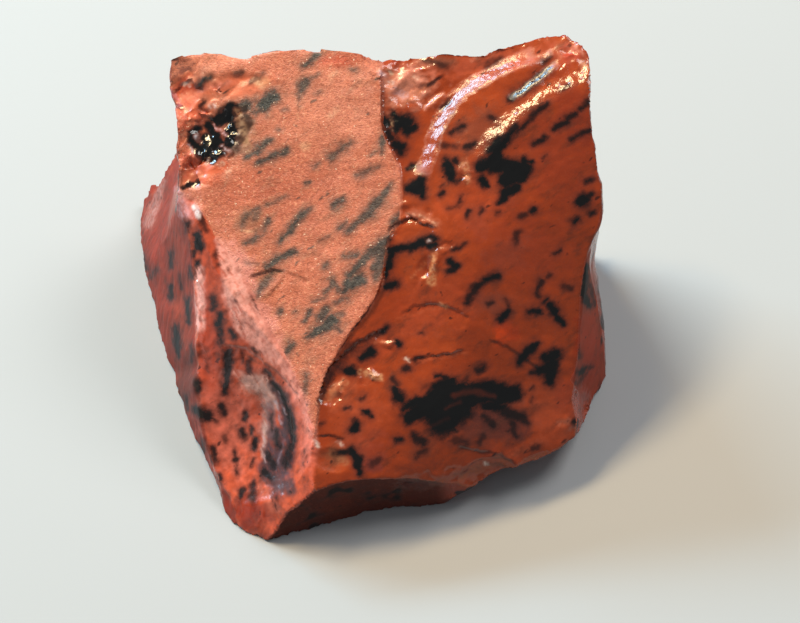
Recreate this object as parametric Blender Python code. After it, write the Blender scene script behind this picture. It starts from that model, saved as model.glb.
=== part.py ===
"""A rough lump of red jasper, broken on every side, lying on one flat break.

Lengths are in millimetres until world_point() turns them into metres.
The lump is laid out on a floor at height 0, with x to the right and y to the back.
"""
import math

import bmesh
import bpy
from mathutils import Matrix, Vector, noise

MM = 0.001

# Overall sizes of the lump, before its faces are broken off
BLOCK_WIDTH = 53.0
BLOCK_DEPTH = 47.0
BLOCK_HEIGHT = 33.0

# How far out from a break everything is cleared away
CLEARED = 45.0

# Points nearer to each other than this become one
WELD_DISTANCE = 0.00001

# Middle of the finished lump's footprint in the laying-out frame
FOOTPRINT_MIDDLE = (-3.52, 2.75)

# The broad break on the front leans back by this angle.
# Its own axes are u across, v up the slope and w out of the stone, from this middle point.
BROAD_LEAN_BACK = 35.0
BROAD_MIDDLE = (0.0, 0.0, 13.0)
BROAD_CELL = 1.3
BROAD_REACH = 33.0

# The matt, flat split on the left of the broad break
SPLIT_RISE = 2.73
SPLIT_FALL = 0.108
SPLIT_HOLLOW = 0.25
SPLIT_HOLLOW_MIDDLE = (-9.0, 8.0)
SPLIT_HOLLOW_RADIUS = 13.0
SPLIT_ROLL_SIZE = 9.0
SPLIT_ROLL_HEIGHT = 0.22

# The step between the matt split and the glossy lobe, from the back edge down to the front edge
STEP_LINE = [(-2.2, 34.0), (-1.9, 25.0), (-1.8, 18.2), (-1.0, 16.4), (0.0, 14.7), (0.3, 12.2),
             (0.1, 9.2), (-1.2, 7.2), (-1.6, 4.2), (-1.8, 2.6), (-3.1, 0.2), (-5.0, -2.2),
             (-6.2, -4.2), (-7.4, -6.7), (-8.0, -8.9), (-8.4, -12.6), (-9.2, -17.0), (-10.5, -34.0)]
STEP_LEAN = 0.12

# The glossy lobe on the right: a crest around a middle, a fold, and a trough beside the step
LOBE_MIDDLE = (20.0, 7.6)
LOBE_CREST = 1.5
FOLD_RADIUS = 15.2
FOLD_SLOPE = 0.45
FOLD_SOFTNESS = 0.7
TROUGH_DEPTH = 0.55
TROUGH_DEPTH_BELOW = 0.15
TROUGH_DEEPENS = (-10.0, -4.0)
TROUGH_SOFTNESS = 0.35
RIB_RADIUS = 18.6
RIB_HEIGHT = 0.28
RIB_WIDTH = 1.1
RIB_RISES = (-4.0, 6.0)
LOBE_ROLL_SIZE = 6.0
LOBE_ROLL_HEIGHT = 0.25

# The lower right of the lobe falls away to the front corner
FALL_POINT = (8.0, -0.6, 4.0)
FALL_RIGHT = -0.36
FALL_UP = 0.17
SHOULDER_POINT = (4.6, -18.9, 0.9)
SHOULDER_RIGHT = -0.35
SHOULDER_UP = 0.50
SOFT_MEET = 1.0


def world_point(x, y, z):
    """Millimetres in the laying-out frame to metres about the middle of the footprint."""
    return Vector((x - FOOTPRINT_MIDDLE[0], y - FOOTPRINT_MIDDLE[1], z)) * MM


def broad_axes():
    """Middle and axes of the broad front break, in the laying-out frame."""
    lean = math.radians(BROAD_LEAN_BACK)
    across = Vector((1.0, 0.0, 0.0))
    up_slope = Vector((0.0, math.cos(lean), math.sin(lean)))
    outward = Vector((0.0, -math.sin(lean), math.cos(lean)))
    return Vector(BROAD_MIDDLE), across, up_slope, outward


def face_axes(middle, facing, lean):
    """Axes of a break that faces a compass angle (0 is the back, 90 the right), tilted up by lean."""
    turn = math.radians(facing)
    tilt = math.radians(lean)
    outward = Vector((math.sin(turn) * math.cos(tilt), math.cos(turn) * math.cos(tilt), math.sin(tilt)))
    across = Vector((-math.cos(turn), math.sin(turn), 0.0))
    up_slope = outward.cross(across)
    return Vector(middle), across, up_slope, outward


def softplus(value, softness):
    """A ramp that starts at zero with a soft bend."""
    return softness * math.log1p(math.exp(min(value / softness, 60.0)))


def soft_min(a, b, softness):
    """The lower of two heights, rounded where they meet."""
    return a - softplus(a - b, softness)


def soft_max(a, b, softness):
    """The higher of two heights, rounded where they meet."""
    return a + softplus(b - a, softness)


def bump(distance, radius):
    """One at the middle, zero from radius on."""
    if distance >= radius:
        return 0.0
    return 0.5 + 0.5 * math.cos(math.pi * distance / radius)


def ramp(value, start, end):
    """Rises smoothly from zero at start to one at end."""
    part = min(max((value - start) / (end - start), 0.0), 1.0)
    return part * part * (3.0 - 2.0 * part)


def roll(a, b, seed, size, height):
    """Slow, uneven waves of a broken face."""
    return height * noise.noise(Vector((a / size, b / size, seed * 7.3)))


def split_plane(v):
    """The flat that both halves of the broad break lie near."""
    return SPLIT_RISE - SPLIT_FALL * v


def split_height(u, v):
    """The matt split: nearly flat, a little hollow in its middle."""
    distance = math.dist((u, v), SPLIT_HOLLOW_MIDDLE)
    waves = roll(u, v, 1, SPLIT_ROLL_SIZE, SPLIT_ROLL_HEIGHT)
    return split_plane(v) - SPLIT_HOLLOW * bump(distance, SPLIT_HOLLOW_RADIUS) + waves


def lobe_height(u, v):
    """The glossy lobe: crest, fold, rib and trough above, and the falling shoulder below."""
    distance = math.dist((u, v), LOBE_MIDDLE)
    level = split_plane(v)
    crest = level + LOBE_CREST - FOLD_SLOPE * softplus(distance - FOLD_RADIUS, FOLD_SOFTNESS)
    deeper = (TROUGH_DEPTH - TROUGH_DEPTH_BELOW) * ramp(v, *TROUGH_DEEPENS)
    upper = soft_max(crest, level - TROUGH_DEPTH_BELOW - deeper, TROUGH_SOFTNESS)
    upper += RIB_HEIGHT * math.exp(-((distance - RIB_RADIUS) / RIB_WIDTH) ** 2) * ramp(v, *RIB_RISES)
    fall_u, fall_v, fall_w = FALL_POINT
    falling = fall_w + FALL_RIGHT * (u - fall_u) + FALL_UP * (v - fall_v)
    shoulder_u, shoulder_v, shoulder_w = SHOULDER_POINT
    shoulder = shoulder_w + SHOULDER_RIGHT * (u - shoulder_u) + SHOULDER_UP * (v - shoulder_v)
    lobe = soft_min(soft_min(upper, falling, SOFT_MEET), shoulder, SOFT_MEET * 0.5)
    return lobe + roll(u, v, 2, LOBE_ROLL_SIZE, LOBE_ROLL_HEIGHT)


# The other breaks. Each has a middle on its face, the way that it faces, how far its grid
# reaches along and up the face, how deep its hollow is and how wide, and where it was struck.
BREAKS = [
    dict(name="left_front", middle=(-16.4, -5.1, 11.8), facing=221.3, lean=38.0, reach=(27.0, 20.0),
         hollow=1.7, hollow_middle=(6.5, -0.5), hollow_radius=15.0,
         struck=(18.0, 10.0), ripple=0.05, ripple_length=4.0, seed=3),
    dict(name="left_back", middle=(-22.4, 4.0, 8.0), facing=254.0, lean=6.5, reach=(30.0, 20.0),
         hollow=0.5, hollow_middle=(0.0, 3.0), hollow_radius=16.0,
         struck=(-20.0, 14.0), ripple=0.05, ripple_length=4.0, seed=4),
    dict(name="back_left", middle=(-25.0, 17.4, 14.0), facing=262.0, lean=10.0, reach=(20.0, 22.0),
         hollow=2.9, hollow_middle=(-4.0, 0.5), hollow_radius=16.0,
         struck=(0.0, 16.0), ripple=0.06, ripple_length=4.2, seed=5),
    dict(name="front_under", middle=(-5.5, -17.1, 3.0), facing=169.0, lean=-1.0, reach=(24.0, 12.0),
         hollow=1.3, hollow_middle=(1.0, 1.0), hollow_radius=11.0,
         struck=(0.0, 9.0), ripple=0.05, ripple_length=3.0, seed=6),
    dict(name="front_tip", middle=(-13.8, -16.7, 2.4), facing=221.6, lean=26.9, reach=(7.0, 7.0),
         hollow=0.3, hollow_middle=(0.0, 0.0), hollow_radius=5.0,
         struck=(0.0, 6.0), ripple=0.04, ripple_length=3.0, seed=11),
    dict(name="right_under", middle=(10.4, -14.2, 4.2), facing=139.5, lean=-40.0, reach=(22.0, 13.0),
         hollow=0.6, hollow_middle=(2.0, -2.0), hollow_radius=10.0,
         struck=(4.0, 10.0), ripple=0.06, ripple_length=3.4, seed=7),
    dict(name="right_side", middle=(20.5, 8.0, 9.0), facing=87.0, lean=3.0, reach=(24.0, 20.0),
         hollow=0.8, hollow_middle=(-6.0, 4.0), hollow_radius=14.0,
         struck=(10.0, 16.0), ripple=0.06, ripple_length=4.0, seed=8),
    dict(name="right_sliver", middle=(19.4, -0.5, 8.0), facing=108.0, lean=11.0, reach=(11.0, 26.0),
         hollow=0.4, hollow_middle=(0.0, 0.0), hollow_radius=9.0,
         struck=(2.0, 12.0), ripple=0.05, ripple_length=3.2, seed=12),
    dict(name="back_upper", middle=(-2.0, 22.65, 20.0), facing=356.3, lean=4.0, reach=(32.0, 17.0),
         hollow=0.7, hollow_middle=(-4.0, 0.0), hollow_radius=12.0,
         struck=(4.0, 13.0), ripple=0.08, ripple_length=4.2, seed=9),
    dict(name="back_right", middle=(20.1, 21.6, 20.0), facing=50.0, lean=12.0, reach=(12.0, 24.0),
         hollow=0.3, hollow_middle=(0.0, 0.0), hollow_radius=10.0,
         struck=(0.0, 12.0), ripple=0.05, ripple_length=4.0, seed=13),
    dict(name="back_lower", middle=(2.0, 20.8, 7.0), facing=8.0, lean=-14.0, reach=(36.0, 24.0),
         hollow=1.1, hollow_middle=(4.0, 0.0), hollow_radius=13.0,
         struck=(-6.0, 10.0), ripple=0.06, ripple_length=4.2, seed=10),
]
BREAK_CELL = 1.45
ROLL_SIZE = 7.0
ROLL_HEIGHT = 0.4


# Scars scooped out of the broad break where its rim was chipped: u, v, how deep, radius of
# the scoop, how far it is drawn out along and across, and its turn in degrees.
SPLIT_SCARS = [
    ("corner_ledge", -22.6, 22.6, 0.9, 7.0, 1.0, 0.8, 20.0),
    ("corner_scoop", -20.8, 17.4, 0.75, 7.0, 1.2, 0.6, 55.0),
    ("corner_facet", -22.4, 12.4, 0.9, 6.0, 0.8, 1.2, 15.0),
    ("back_nick", 0.6, 26.6, 1.3, 4.6, 1.4, 0.8, 0.0),
]
LOBE_SCARS = [
    ("foot_ledge", -6.8, -14.4, 0.35, 4.0, 1.5, 0.8, -5.0),
    ("front_chip", 9.8, -16.8, 0.7, 3.8, 1.3, 0.8, 20.0),
    ("rim_chip", 14.4, -14.6, 0.5, 3.2, 1.4, 0.7, 35.0),
    ("right_corner_nick", 20.0, -8.6, 1.5, 3.4, 1.0, 0.8, 60.0),
]

# The shallow bowl low on the left front face: its place along and up that face, depth and radius
LEFT_BOWL_PLACE = (5.6, -4.2)
LEFT_BOWL_DEPTH = 0.9
LEFT_BOWL_RADIUS = 13.0

# How finely the scooping balls are divided; those wider than this radius once more
SCOOP_SUBDIVISIONS = 3
FINER_SCOOP_RADIUS = 10.0


def remove_everything():
    """Start from an empty scene."""
    for item in list(bpy.data.objects):
        bpy.data.objects.remove(item, do_unlink=True)


def new_collection(name):
    collection = bpy.data.collections.new(name)
    bpy.context.scene.collection.children.link(collection)
    return collection


def red_stone():
    """Glassy red stone, a little duller than polished."""
    material = bpy.data.materials.new("red_stone")
    material.use_nodes = True
    shader = material.node_tree.nodes["Principled BSDF"]
    shader.inputs["Base Color"].default_value = (0.38, 0.062, 0.022, 1.0)
    shader.inputs["Roughness"].default_value = 0.35
    shader.inputs["Metallic"].default_value = 0.0
    return material


def add_mesh(name, shape, collection):
    """Put a closed shape into a collection as flat triangles that face out."""
    bmesh.ops.triangulate(shape, faces=shape.faces)
    bmesh.ops.recalc_face_normals(shape, faces=shape.faces)
    if shape.calc_volume(signed=True) < 0.0:
        bmesh.ops.reverse_faces(shape, faces=shape.faces)
    mesh = bpy.data.meshes.new(name)
    shape.to_mesh(mesh)
    shape.free()
    item = bpy.data.objects.new(name, mesh)
    collection.objects.link(item)
    return item


def sheet_solid(axes, reach, cells, place):
    """A slab whose lower side is a grid that place(a, b) shapes. It is what is broken away."""
    middle, across, up_slope, outward = axes
    half_a, half_b = reach
    cells_a, cells_b = cells
    shape = bmesh.new()
    bmesh.ops.create_grid(shape, x_segments=cells_a, y_segments=cells_b, size=1.0)
    for vertex in shape.verts:
        vertex.co = place(vertex.co.x * half_a, vertex.co.y * half_b)
    raised = bmesh.ops.extrude_face_region(shape, geom=list(shape.faces), use_keep_orig=True)
    for vertex in raised["geom"]:
        if isinstance(vertex, bmesh.types.BMVert):
            vertex.co.z = CLEARED
    for vertex in shape.verts:
        a, b, w = vertex.co
        vertex.co = world_point(*(middle + across * a + up_slope * b + outward * w))
    return shape


def boolean(item, cutter):
    """Take a cutter's body out of the stone."""
    modifier = item.modifiers.new(cutter.name, "BOOLEAN")
    modifier.operation = "DIFFERENCE"
    modifier.solver = "EXACT"
    modifier.object = cutter
    return modifier


def as_cutter(item):
    """A body that only takes stone away is drawn as wires and never rendered."""
    item.hide_render = True
    item.display_type = "WIRE"
    return item


def step_at(v):
    """How far across the step line lies at v up the slope."""
    for (u_high, v_high), (u_low, v_low) in zip(STEP_LINE, STEP_LINE[1:]):
        if v_low <= v <= v_high:
            return u_low + (u_high - u_low) * (v - v_low) / (v_high - v_low)
    return STEP_LINE[0][0] if v > STEP_LINE[0][1] else STEP_LINE[-1][0]


def broad_cutter(cutters):
    """What was split off the broad break. Two columns of its grid run along the step."""
    cells_left = round((BROAD_REACH + STEP_LINE[4][0]) / BROAD_CELL)
    cells_right = round((BROAD_REACH - STEP_LINE[4][0]) / BROAD_CELL)
    cells = cells_left + 1 + cells_right

    def place(a, b):
        column = round((a / BROAD_REACH + 1.0) / 2.0 * cells)
        step = step_at(b)
        if column <= cells_left:
            edge = step - STEP_LEAN / 2.0
            u = -BROAD_REACH + (edge + BROAD_REACH) * column / cells_left
            return Vector((u, b, split_height(u, b)))
        edge = step + STEP_LEAN / 2.0
        u = BROAD_REACH - (BROAD_REACH - edge) * (cells - column) / cells_right
        return Vector((u, b, lobe_height(u, b)))

    rows = round(2 * BROAD_REACH / BROAD_CELL)
    solid = sheet_solid(broad_axes(), (BROAD_REACH, BROAD_REACH), (cells, rows), place)
    return as_cutter(add_mesh("broad_break", solid, cutters))


def break_height(face, a, b):
    """How far a break stands out from its own plane: hollow, rings around the blow and rolls."""
    bowl = face["hollow"] * bump(math.dist((a, b), face["hollow_middle"]), face["hollow_radius"])
    distance = math.dist((a, b), face["struck"])
    rings = face["ripple"] * math.sin(2.0 * math.pi * distance / face["ripple_length"])
    return rings - bowl + roll(a, b, face["seed"], ROLL_SIZE, ROLL_HEIGHT)


def break_cutter(face, cutters):
    """What was broken away from one of the other sides."""
    axes = face_axes(face["middle"], face["facing"], face["lean"])

    def place(a, b):
        return Vector((a, b, break_height(face, a, b)))

    half_a, half_b = face["reach"]
    cells = (round(2 * half_a / BREAK_CELL), round(2 * half_b / BREAK_CELL))
    return as_cutter(add_mesh(face["name"], sheet_solid(axes, face["reach"], cells, place), cutters))


def scoop_cutter(name, point, outward, across, depth, radius, along, sideways, turn, cutters):
    """A ball that scoops one shell-shaped scar out of the surface at a point."""
    finer = 1 if radius > FINER_SCOOP_RADIUS else 0
    shape = bmesh.new()
    bmesh.ops.create_icosphere(shape, subdivisions=SCOOP_SUBDIVISIONS + finer, radius=radius)
    up_slope = outward.cross(across)
    axes = Matrix((across, up_slope, outward)).transposed()
    spin = Matrix.Rotation(math.radians(turn), 3, "Z")
    stretch = Matrix.Diagonal((along, sideways, 1.0))
    centre = point + outward * (radius - depth)
    for vertex in shape.verts:
        vertex.co = world_point(*(centre + axes @ (spin @ (stretch @ vertex.co))))
    return as_cutter(add_mesh(name, shape, cutters))


def broad_scars(cutters):
    """Chips out of the rim and the corners of the broad break."""
    middle, across, up_slope, outward = broad_axes()
    tools = []
    for scars, height in ((SPLIT_SCARS, split_height), (LOBE_SCARS, lobe_height)):
        for name, u, v, *shape in scars:
            point = middle + across * u + up_slope * v + outward * height(u, v)
            tools.append(scoop_cutter(name, point, outward, across, *shape, cutters))
    return tools


def left_bowl(cutters):
    """The shallow bowl low on the left front face."""
    face = BREAKS[0]
    middle, across, up_slope, outward = face_axes(face["middle"], face["facing"], face["lean"])
    a, b = LEFT_BOWL_PLACE
    point = middle + across * a + up_slope * b + outward * break_height(face, a, b)
    return scoop_cutter("left_bowl", point, outward, across, LEFT_BOWL_DEPTH, LEFT_BOWL_RADIUS,
                        1.0, 1.15, 0.0, cutters)


def block(collection):
    """The rough block that everything is broken from, standing on its flat base."""
    shape = bmesh.new()
    bmesh.ops.create_cube(shape, size=1.0)
    for vertex in shape.verts:
        x = vertex.co.x * BLOCK_WIDTH + FOOTPRINT_MIDDLE[0]
        y = vertex.co.y * BLOCK_DEPTH + FOOTPRINT_MIDDLE[1]
        vertex.co = world_point(x, y, (vertex.co.z + 0.5) * BLOCK_HEIGHT)
    return add_mesh("stone", shape, collection)


def build():
    """Break the lump out of its block."""
    remove_everything()
    collection = new_collection("red_jasper")
    cutters = new_collection("cutters")
    stone = block(collection)
    stone.data.materials.append(red_stone())
    tools = [broad_cutter(cutters)]
    tools += [break_cutter(face, cutters) for face in BREAKS]
    tools.append(left_bowl(cutters))
    tools += broad_scars(cutters)
    for tool in tools:
        boolean(stone, tool)
    weld = stone.modifiers.new("weld", "WELD")
    weld.merge_threshold = WELD_DISTANCE
    stone.modifiers.new("triangles", "TRIANGULATE")
    return stone


build()
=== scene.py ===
"""A rough lump of red jasper, dressed for the camera, with its floor, lights and view."""
import math

import bpy
import numpy as np
from mathutils import Matrix, Vector, bvhtree, geometry, kdtree, noise


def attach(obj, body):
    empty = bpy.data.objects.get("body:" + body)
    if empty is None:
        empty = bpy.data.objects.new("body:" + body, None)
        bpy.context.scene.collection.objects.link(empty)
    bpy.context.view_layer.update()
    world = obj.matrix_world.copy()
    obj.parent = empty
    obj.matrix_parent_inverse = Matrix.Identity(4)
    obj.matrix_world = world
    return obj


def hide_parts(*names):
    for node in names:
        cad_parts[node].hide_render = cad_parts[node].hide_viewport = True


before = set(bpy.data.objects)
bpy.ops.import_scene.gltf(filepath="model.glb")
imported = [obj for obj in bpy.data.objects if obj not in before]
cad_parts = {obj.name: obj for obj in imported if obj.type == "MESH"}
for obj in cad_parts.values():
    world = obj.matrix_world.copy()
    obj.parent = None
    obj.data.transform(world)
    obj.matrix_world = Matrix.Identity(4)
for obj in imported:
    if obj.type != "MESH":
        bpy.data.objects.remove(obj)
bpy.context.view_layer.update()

# The lump: its mesh
# One piece of red jasper, split off a larger block. Every side is a fresh break with sharp arrises.
# The fine mesh is a copy of the solid cut into even small faces, twice as fine where the photo shows it.
MM = 0.001
FACE_SIZE = 0.00043
WELD_DISTANCE = 0.000004
FINE_WHERE_SEEN = 0.12
ARRIS_ANGLE = math.radians(24.0)
ARRIS_STEP = 0.25
ARRIS_MARGIN = 0.2
ARRIS_REACH = 1.0
SMOOTHING_ROUNDS = 60
LEAN = math.radians(35.0)
MIDDLE = np.array((3.52, -2.75, 13.0))
ACROSS = np.array((1.0, 0.0, 0.0))
UP_SLOPE = np.array((0.0, math.cos(LEAN), math.sin(LEAN)))
OUTWARD = np.array((0.0, -math.sin(LEAN), math.cos(LEAN)))
EYE_DISTANCE = 320.0
EYE = MIDDLE + OUTWARD * EYE_DISTANCE

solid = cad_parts["stone"]
bpy.ops.object.select_all(action="DESELECT")
stone = bpy.data.objects.new("jasper_lump", solid.data.copy())
bpy.context.scene.collection.objects.link(stone)
bpy.context.view_layer.objects.active = stone
stone.select_set(True)
stone.data.materials.clear()
bpy.ops.object.mode_set(mode="EDIT")
bpy.ops.mesh.select_all(action="SELECT")
bpy.ops.mesh.remove_doubles(threshold=WELD_DISTANCE)
bpy.ops.object.mode_set(mode="OBJECT")


def arris_points(mesh):
    """Points in small steps along the solid's sharp arrises."""
    corners = np.array([v.co for v in mesh.vertices])
    sides = {}
    for polygon in mesh.polygons:
        for key in polygon.edge_keys:
            sides.setdefault(key, []).append(polygon.normal)
    points = []
    for (a, b), normals in sides.items():
        if len(normals) == 2 and normals[0].angle(normals[1], 0.0) > ARRIS_ANGLE:
            steps = max(int(np.linalg.norm(corners[a] - corners[b]) / (ARRIS_STEP * MM)), 1)
            points += [corners[a] + (corners[b] - corners[a]) * k / steps for k in range(steps + 1)]
    return points


def distances_to(points, targets):
    """How far each target is from the nearest of the points."""
    tree = kdtree.KDTree(len(points))
    for index, point in enumerate(points):
        tree.insert(point, index)
    tree.balance()
    return np.array([tree.find(target)[2] for target in targets])


def wrap_back():
    """Lay the mesh back on the solid's own faces."""
    wrap = stone.modifiers.new("back_to_the_faces", "SHRINKWRAP")
    wrap.target = solid
    wrap.wrap_method = "NEAREST_SURFACEPOINT"
    bpy.ops.object.modifier_apply(modifier=wrap.name)


arrises = arris_points(stone.data)
remesh = stone.modifiers.new("even_faces", "REMESH")
remesh.mode = "VOXEL"
remesh.voxel_size = FACE_SIZE
bpy.ops.object.modifier_apply(modifier=remesh.name)
wrap_back()
bpy.ops.object.mode_set(mode="EDIT")
bpy.ops.mesh.select_mode(type="FACE")
bpy.ops.mesh.select_all(action="DESELECT")
bpy.ops.object.mode_set(mode="OBJECT")
for polygon in stone.data.polygons:
    toward_eye = (Vector(EYE * MM) - polygon.center).normalized()
    polygon.select = polygon.normal.dot(toward_eye) > FINE_WHERE_SEEN
bpy.ops.object.mode_set(mode="EDIT")
bpy.ops.mesh.subdivide(number_cuts=1)
bpy.ops.mesh.select_all(action="SELECT")
bpy.ops.mesh.quads_convert_to_tris()
bpy.ops.object.mode_set(mode="OBJECT")
wrap_back()

count = len(stone.data.vertices)


def vertex_places():
    """The lump's vertices, in millimetres."""
    flat = np.empty(count * 3)
    stone.data.vertices.foreach_get("co", flat)
    return flat.reshape(-1, 3) / MM


def vertex_normals():
    """Which way the surface faces at each vertex."""
    flat = np.empty(count * 3, np.float32)
    stone.data.vertex_normals.foreach_get("vector", flat)
    return flat.reshape(-1, 3).astype(float)


def put_back(moved):
    """Move the vertices to these places, in millimetres."""
    stone.data.vertices.foreach_set("co", (moved * MM).astype(np.float32).ravel())
    stone.data.update()


from_arris = distances_to(arrises, vertex_places() * MM) / MM
away = stone.vertex_groups.new(name="away_from_arrises")
share = np.clip((from_arris - ARRIS_MARGIN) / ARRIS_REACH, 0.0, 1.0)
for level in range(1, 11):
    away.add(np.nonzero(np.round(share * 10) == level)[0].tolist(), level / 10, "REPLACE")
smooth = stone.modifiers.new("even_out", "SMOOTH")
smooth.vertex_group = away.name
smooth.factor = 0.5
smooth.iterations = SMOOTHING_ROUNDS
bpy.ops.object.modifier_apply(modifier=smooth.name)
stone.vertex_groups.clear()

# The lump: where things are on it
# Places on the front are given as if drawn on a sheet held square to the broad break, seen from
# 32 cm: tenths of a millimetre across from the sheet's left edge and down from its top edge.
SHEET_MIDDLE = (400.0, 311.5)

# The outline bulges past the solid's straight arrises here and falls short of them there: place on the
# sheet, how far to the right, how far down
BULGES = [
    (170, 61, 0, -2), (185, 61, 0, -8), (200, 60, 0, -9), (210, 58, 0, -6), (220, 58, 0, -5),
    (230, 57, 0, -3),
    (238, 57, 0, -1), (245, 54, 0, 3), (255, 54, 0, 2), (270, 54, 0, 0), (280, 54, 0, -2), (290, 54, 0, -4),
    (300, 54, 0, -5), (308, 53, 0, -4), (316, 51, 0, 0), (325, 50, 0, 3), (340, 50, 0, 3), (352, 49, 0, 5),
    (362, 49, 0, 8), (372, 51, 0, 8), (385, 55, 0, 6), (400, 56, 0, 4), (410, 54, 0, 5), (420, 52, 0, 6),
    (432, 49, 0, 8), (445, 49, 0, 7), (455, 46, 0, 9), (465, 45, 0, 10), (480, 44, 0, 11), (490, 44, 0, 9),
    (500, 43, 0, 6), (510, 39, 0, 7), (520, 39, 0, 5), (530, 38, 0, 3), (540, 37, 0, 1), (550, 35, 0, 1),
    (560, 35, 0, 0), (566, 35, 0, 1), (573, 40, 0, -1), (581, 50, 1, -6), (588, 57, 1, -4), (590, 66, 0, 0),
    (590, 75, -1, 0), (592, 90, -3, 0), (595, 110, -5, 0), (597, 130, -5, 0), (598, 150, -4, 0),
    (600, 170, -3, 0), (601, 181, -1, 0), (599, 195, 3, 0), (598, 213, 6, 0), (597, 226, 5, 0),
    (598, 240, -3, 0), (599, 260, -5, 0), (600, 280, -2, 0), (601, 300, 0, 0), (602, 320, 2, 0),
    (603, 345, 3, 0), (606, 370, 0, 0), (605, 381, 0, 0), (603, 388, -6, 0), (596, 401, -7, 0),
    (589, 407, 0, 0), (585, 414, 3, 1), (577, 422, 6, 5), (571, 431, 4, 6), (560, 437, 1, 10),
    (550, 442, 0, 13), (534, 449, 0, 13), (518, 459, 0, 8), (503, 467, 0, 3), (494, 472, 0, 0),
    (483, 480, 0, -1), (474, 490, 0, -6), (461, 497, 0, -4), (441, 507, 0, -3), (430, 508, 0, -3),
    (415, 508, 0, -4), (400, 509, 0, -5), (385, 511, 0, -3), (370, 512, 0, 0), (355, 512, 0, 2),
    (340, 515, 0, 5), (329, 517, 0, 6), (321, 520, 0, 5), (310, 523, 0, 5), (290, 530, 0, 2),
    (269, 537, 0, 4),
    (264, 537, 0, 2), (255, 529, 0, 7), (245, 523, 0, 10), (235, 515, 0, 11), (226, 507, 3, 8),
    (222, 503, 3, 3), (218, 489, 1, 0), (214, 477, -1, 0), (209, 458, -3, 0), (206, 447, -6, 0),
    (201, 438, -6, 0), (197, 428, -7, 0), (194, 412, -10, 0), (190, 388, -13, 0), (180, 359, -12, 0),
    (176, 350, -12, 0), (172, 335, -12, 0), (167, 319, -12, 0), (160, 297, -9, 0), (156, 282, -8, 0),
    (150, 265, -6, 0), (143, 246, -2, 0), (140, 230, 0, 0), (137, 217, 3, 0), (137, 207, 5, 2),
    (136, 199, 8, 4), (138, 193, 9, 5), (142, 183, 10, 9), (152, 184, 4, 2), (157, 179, 3, 0),
    (162, 170, 4, 0),
    (172, 82, -3, 0), (174, 93, -5, 0), (174, 102, -1, 0), (174, 112, 2, 0), (174, 126, 3, 0),
]
BULGE_REACH = 13.0


def on_sheet(points):
    """Where points in millimetres are drawn on the sheet."""
    from_eye = points - EYE
    drawn = 10.0 * EYE_DISTANCE / -(from_eye @ OUTWARD)
    return np.column_stack((SHEET_MIDDLE[0] + (from_eye @ ACROSS) * drawn,
                            SHEET_MIDDLE[1] - (from_eye @ UP_SLOPE) * drawn))


places = vertex_places()
sheet = on_sheet(places)
weight = np.full(count, 0.1)
shift = np.zeros((count, 2))
for x, y, right, down in BULGES:
    pull = np.exp(-((sheet[:, 0] - x) ** 2 + (sheet[:, 1] - y) ** 2) / BULGE_REACH ** 2)
    weight += pull
    shift += pull[:, None] * (right, down)
shift /= 10.0 * weight[:, None]
near_floor = np.clip(1.0 - (places[:, 2] - 1.0) / 4.0, 0.0, 1.0)[:, None]
upward = UP_SLOPE * (1.0 - near_floor) + np.array((0.0, 1.0 / math.cos(LEAN), 0.0)) * near_floor
places = places + shift[:, :1] * ACROSS - shift[:, 1:] * upward
places[:, 2] = np.maximum(places[:, 2], 0.0)
put_back(places)
facing = vertex_normals()
sheet = on_sheet(places)
seen = -(facing * (places - EYE)).sum(1) / np.linalg.norm(places - EYE, axis=1)


def rise(value, start, end):
    """Zero before start, one after end, smooth between them."""
    part = np.clip((value - start) / (end - start), 0.0, 1.0)
    return part * part * (3.0 - 2.0 * part)


def beside_line(points, line):
    """How far points lie to the right of a line (minus: left), how far along it, and its length."""
    nearest = np.full(len(points), 1e9)
    signed = np.zeros(len(points))
    along = np.zeros(len(points))
    run = 0.0
    for start, end in zip(np.array(line[:-1], float), np.array(line[1:], float)):
        leg = end - start
        length = np.hypot(*leg)
        offset = points - start
        part = np.clip((offset @ leg) / length ** 2, 0.0, 1.0)
        gap = offset - part[:, None] * leg
        distance = np.hypot(gap[:, 0], gap[:, 1])
        side = leg[0] * offset[:, 1] - leg[1] * offset[:, 0]
        closer = distance < nearest - 1e-9
        nearest = np.where(closer, distance, nearest)
        signed = np.where(closer, np.where(side >= 0.0, distance, -distance), signed)
        along = np.where(closer, run + part * length, along)
        run += length
    return signed, along, run


def in_oval(points, x, y, half_long, half_wide, turn):
    """Zero in the middle of an oval patch, one at its rim. Turn is anticlockwise, in degrees."""
    angle = math.radians(turn)
    dx, dy = points[:, 0] - x, -(points[:, 1] - y)
    along = dx * math.cos(angle) + dy * math.sin(angle)
    across = -dx * math.sin(angle) + dy * math.cos(angle)
    return np.hypot(along / half_long, across / half_wide)


def waves(size, seed, stretch=(1.0, 1.0, 1.0), octaves=2):
    """Uneven noise over the whole surface, about this size in millimetres, from -1 to 1."""
    scaled = places / (np.array(stretch) * size) + seed * 7.13
    return np.array([noise.fractal(Vector(p), 0.6, 2.1, octaves) for p in scaled])


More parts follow.
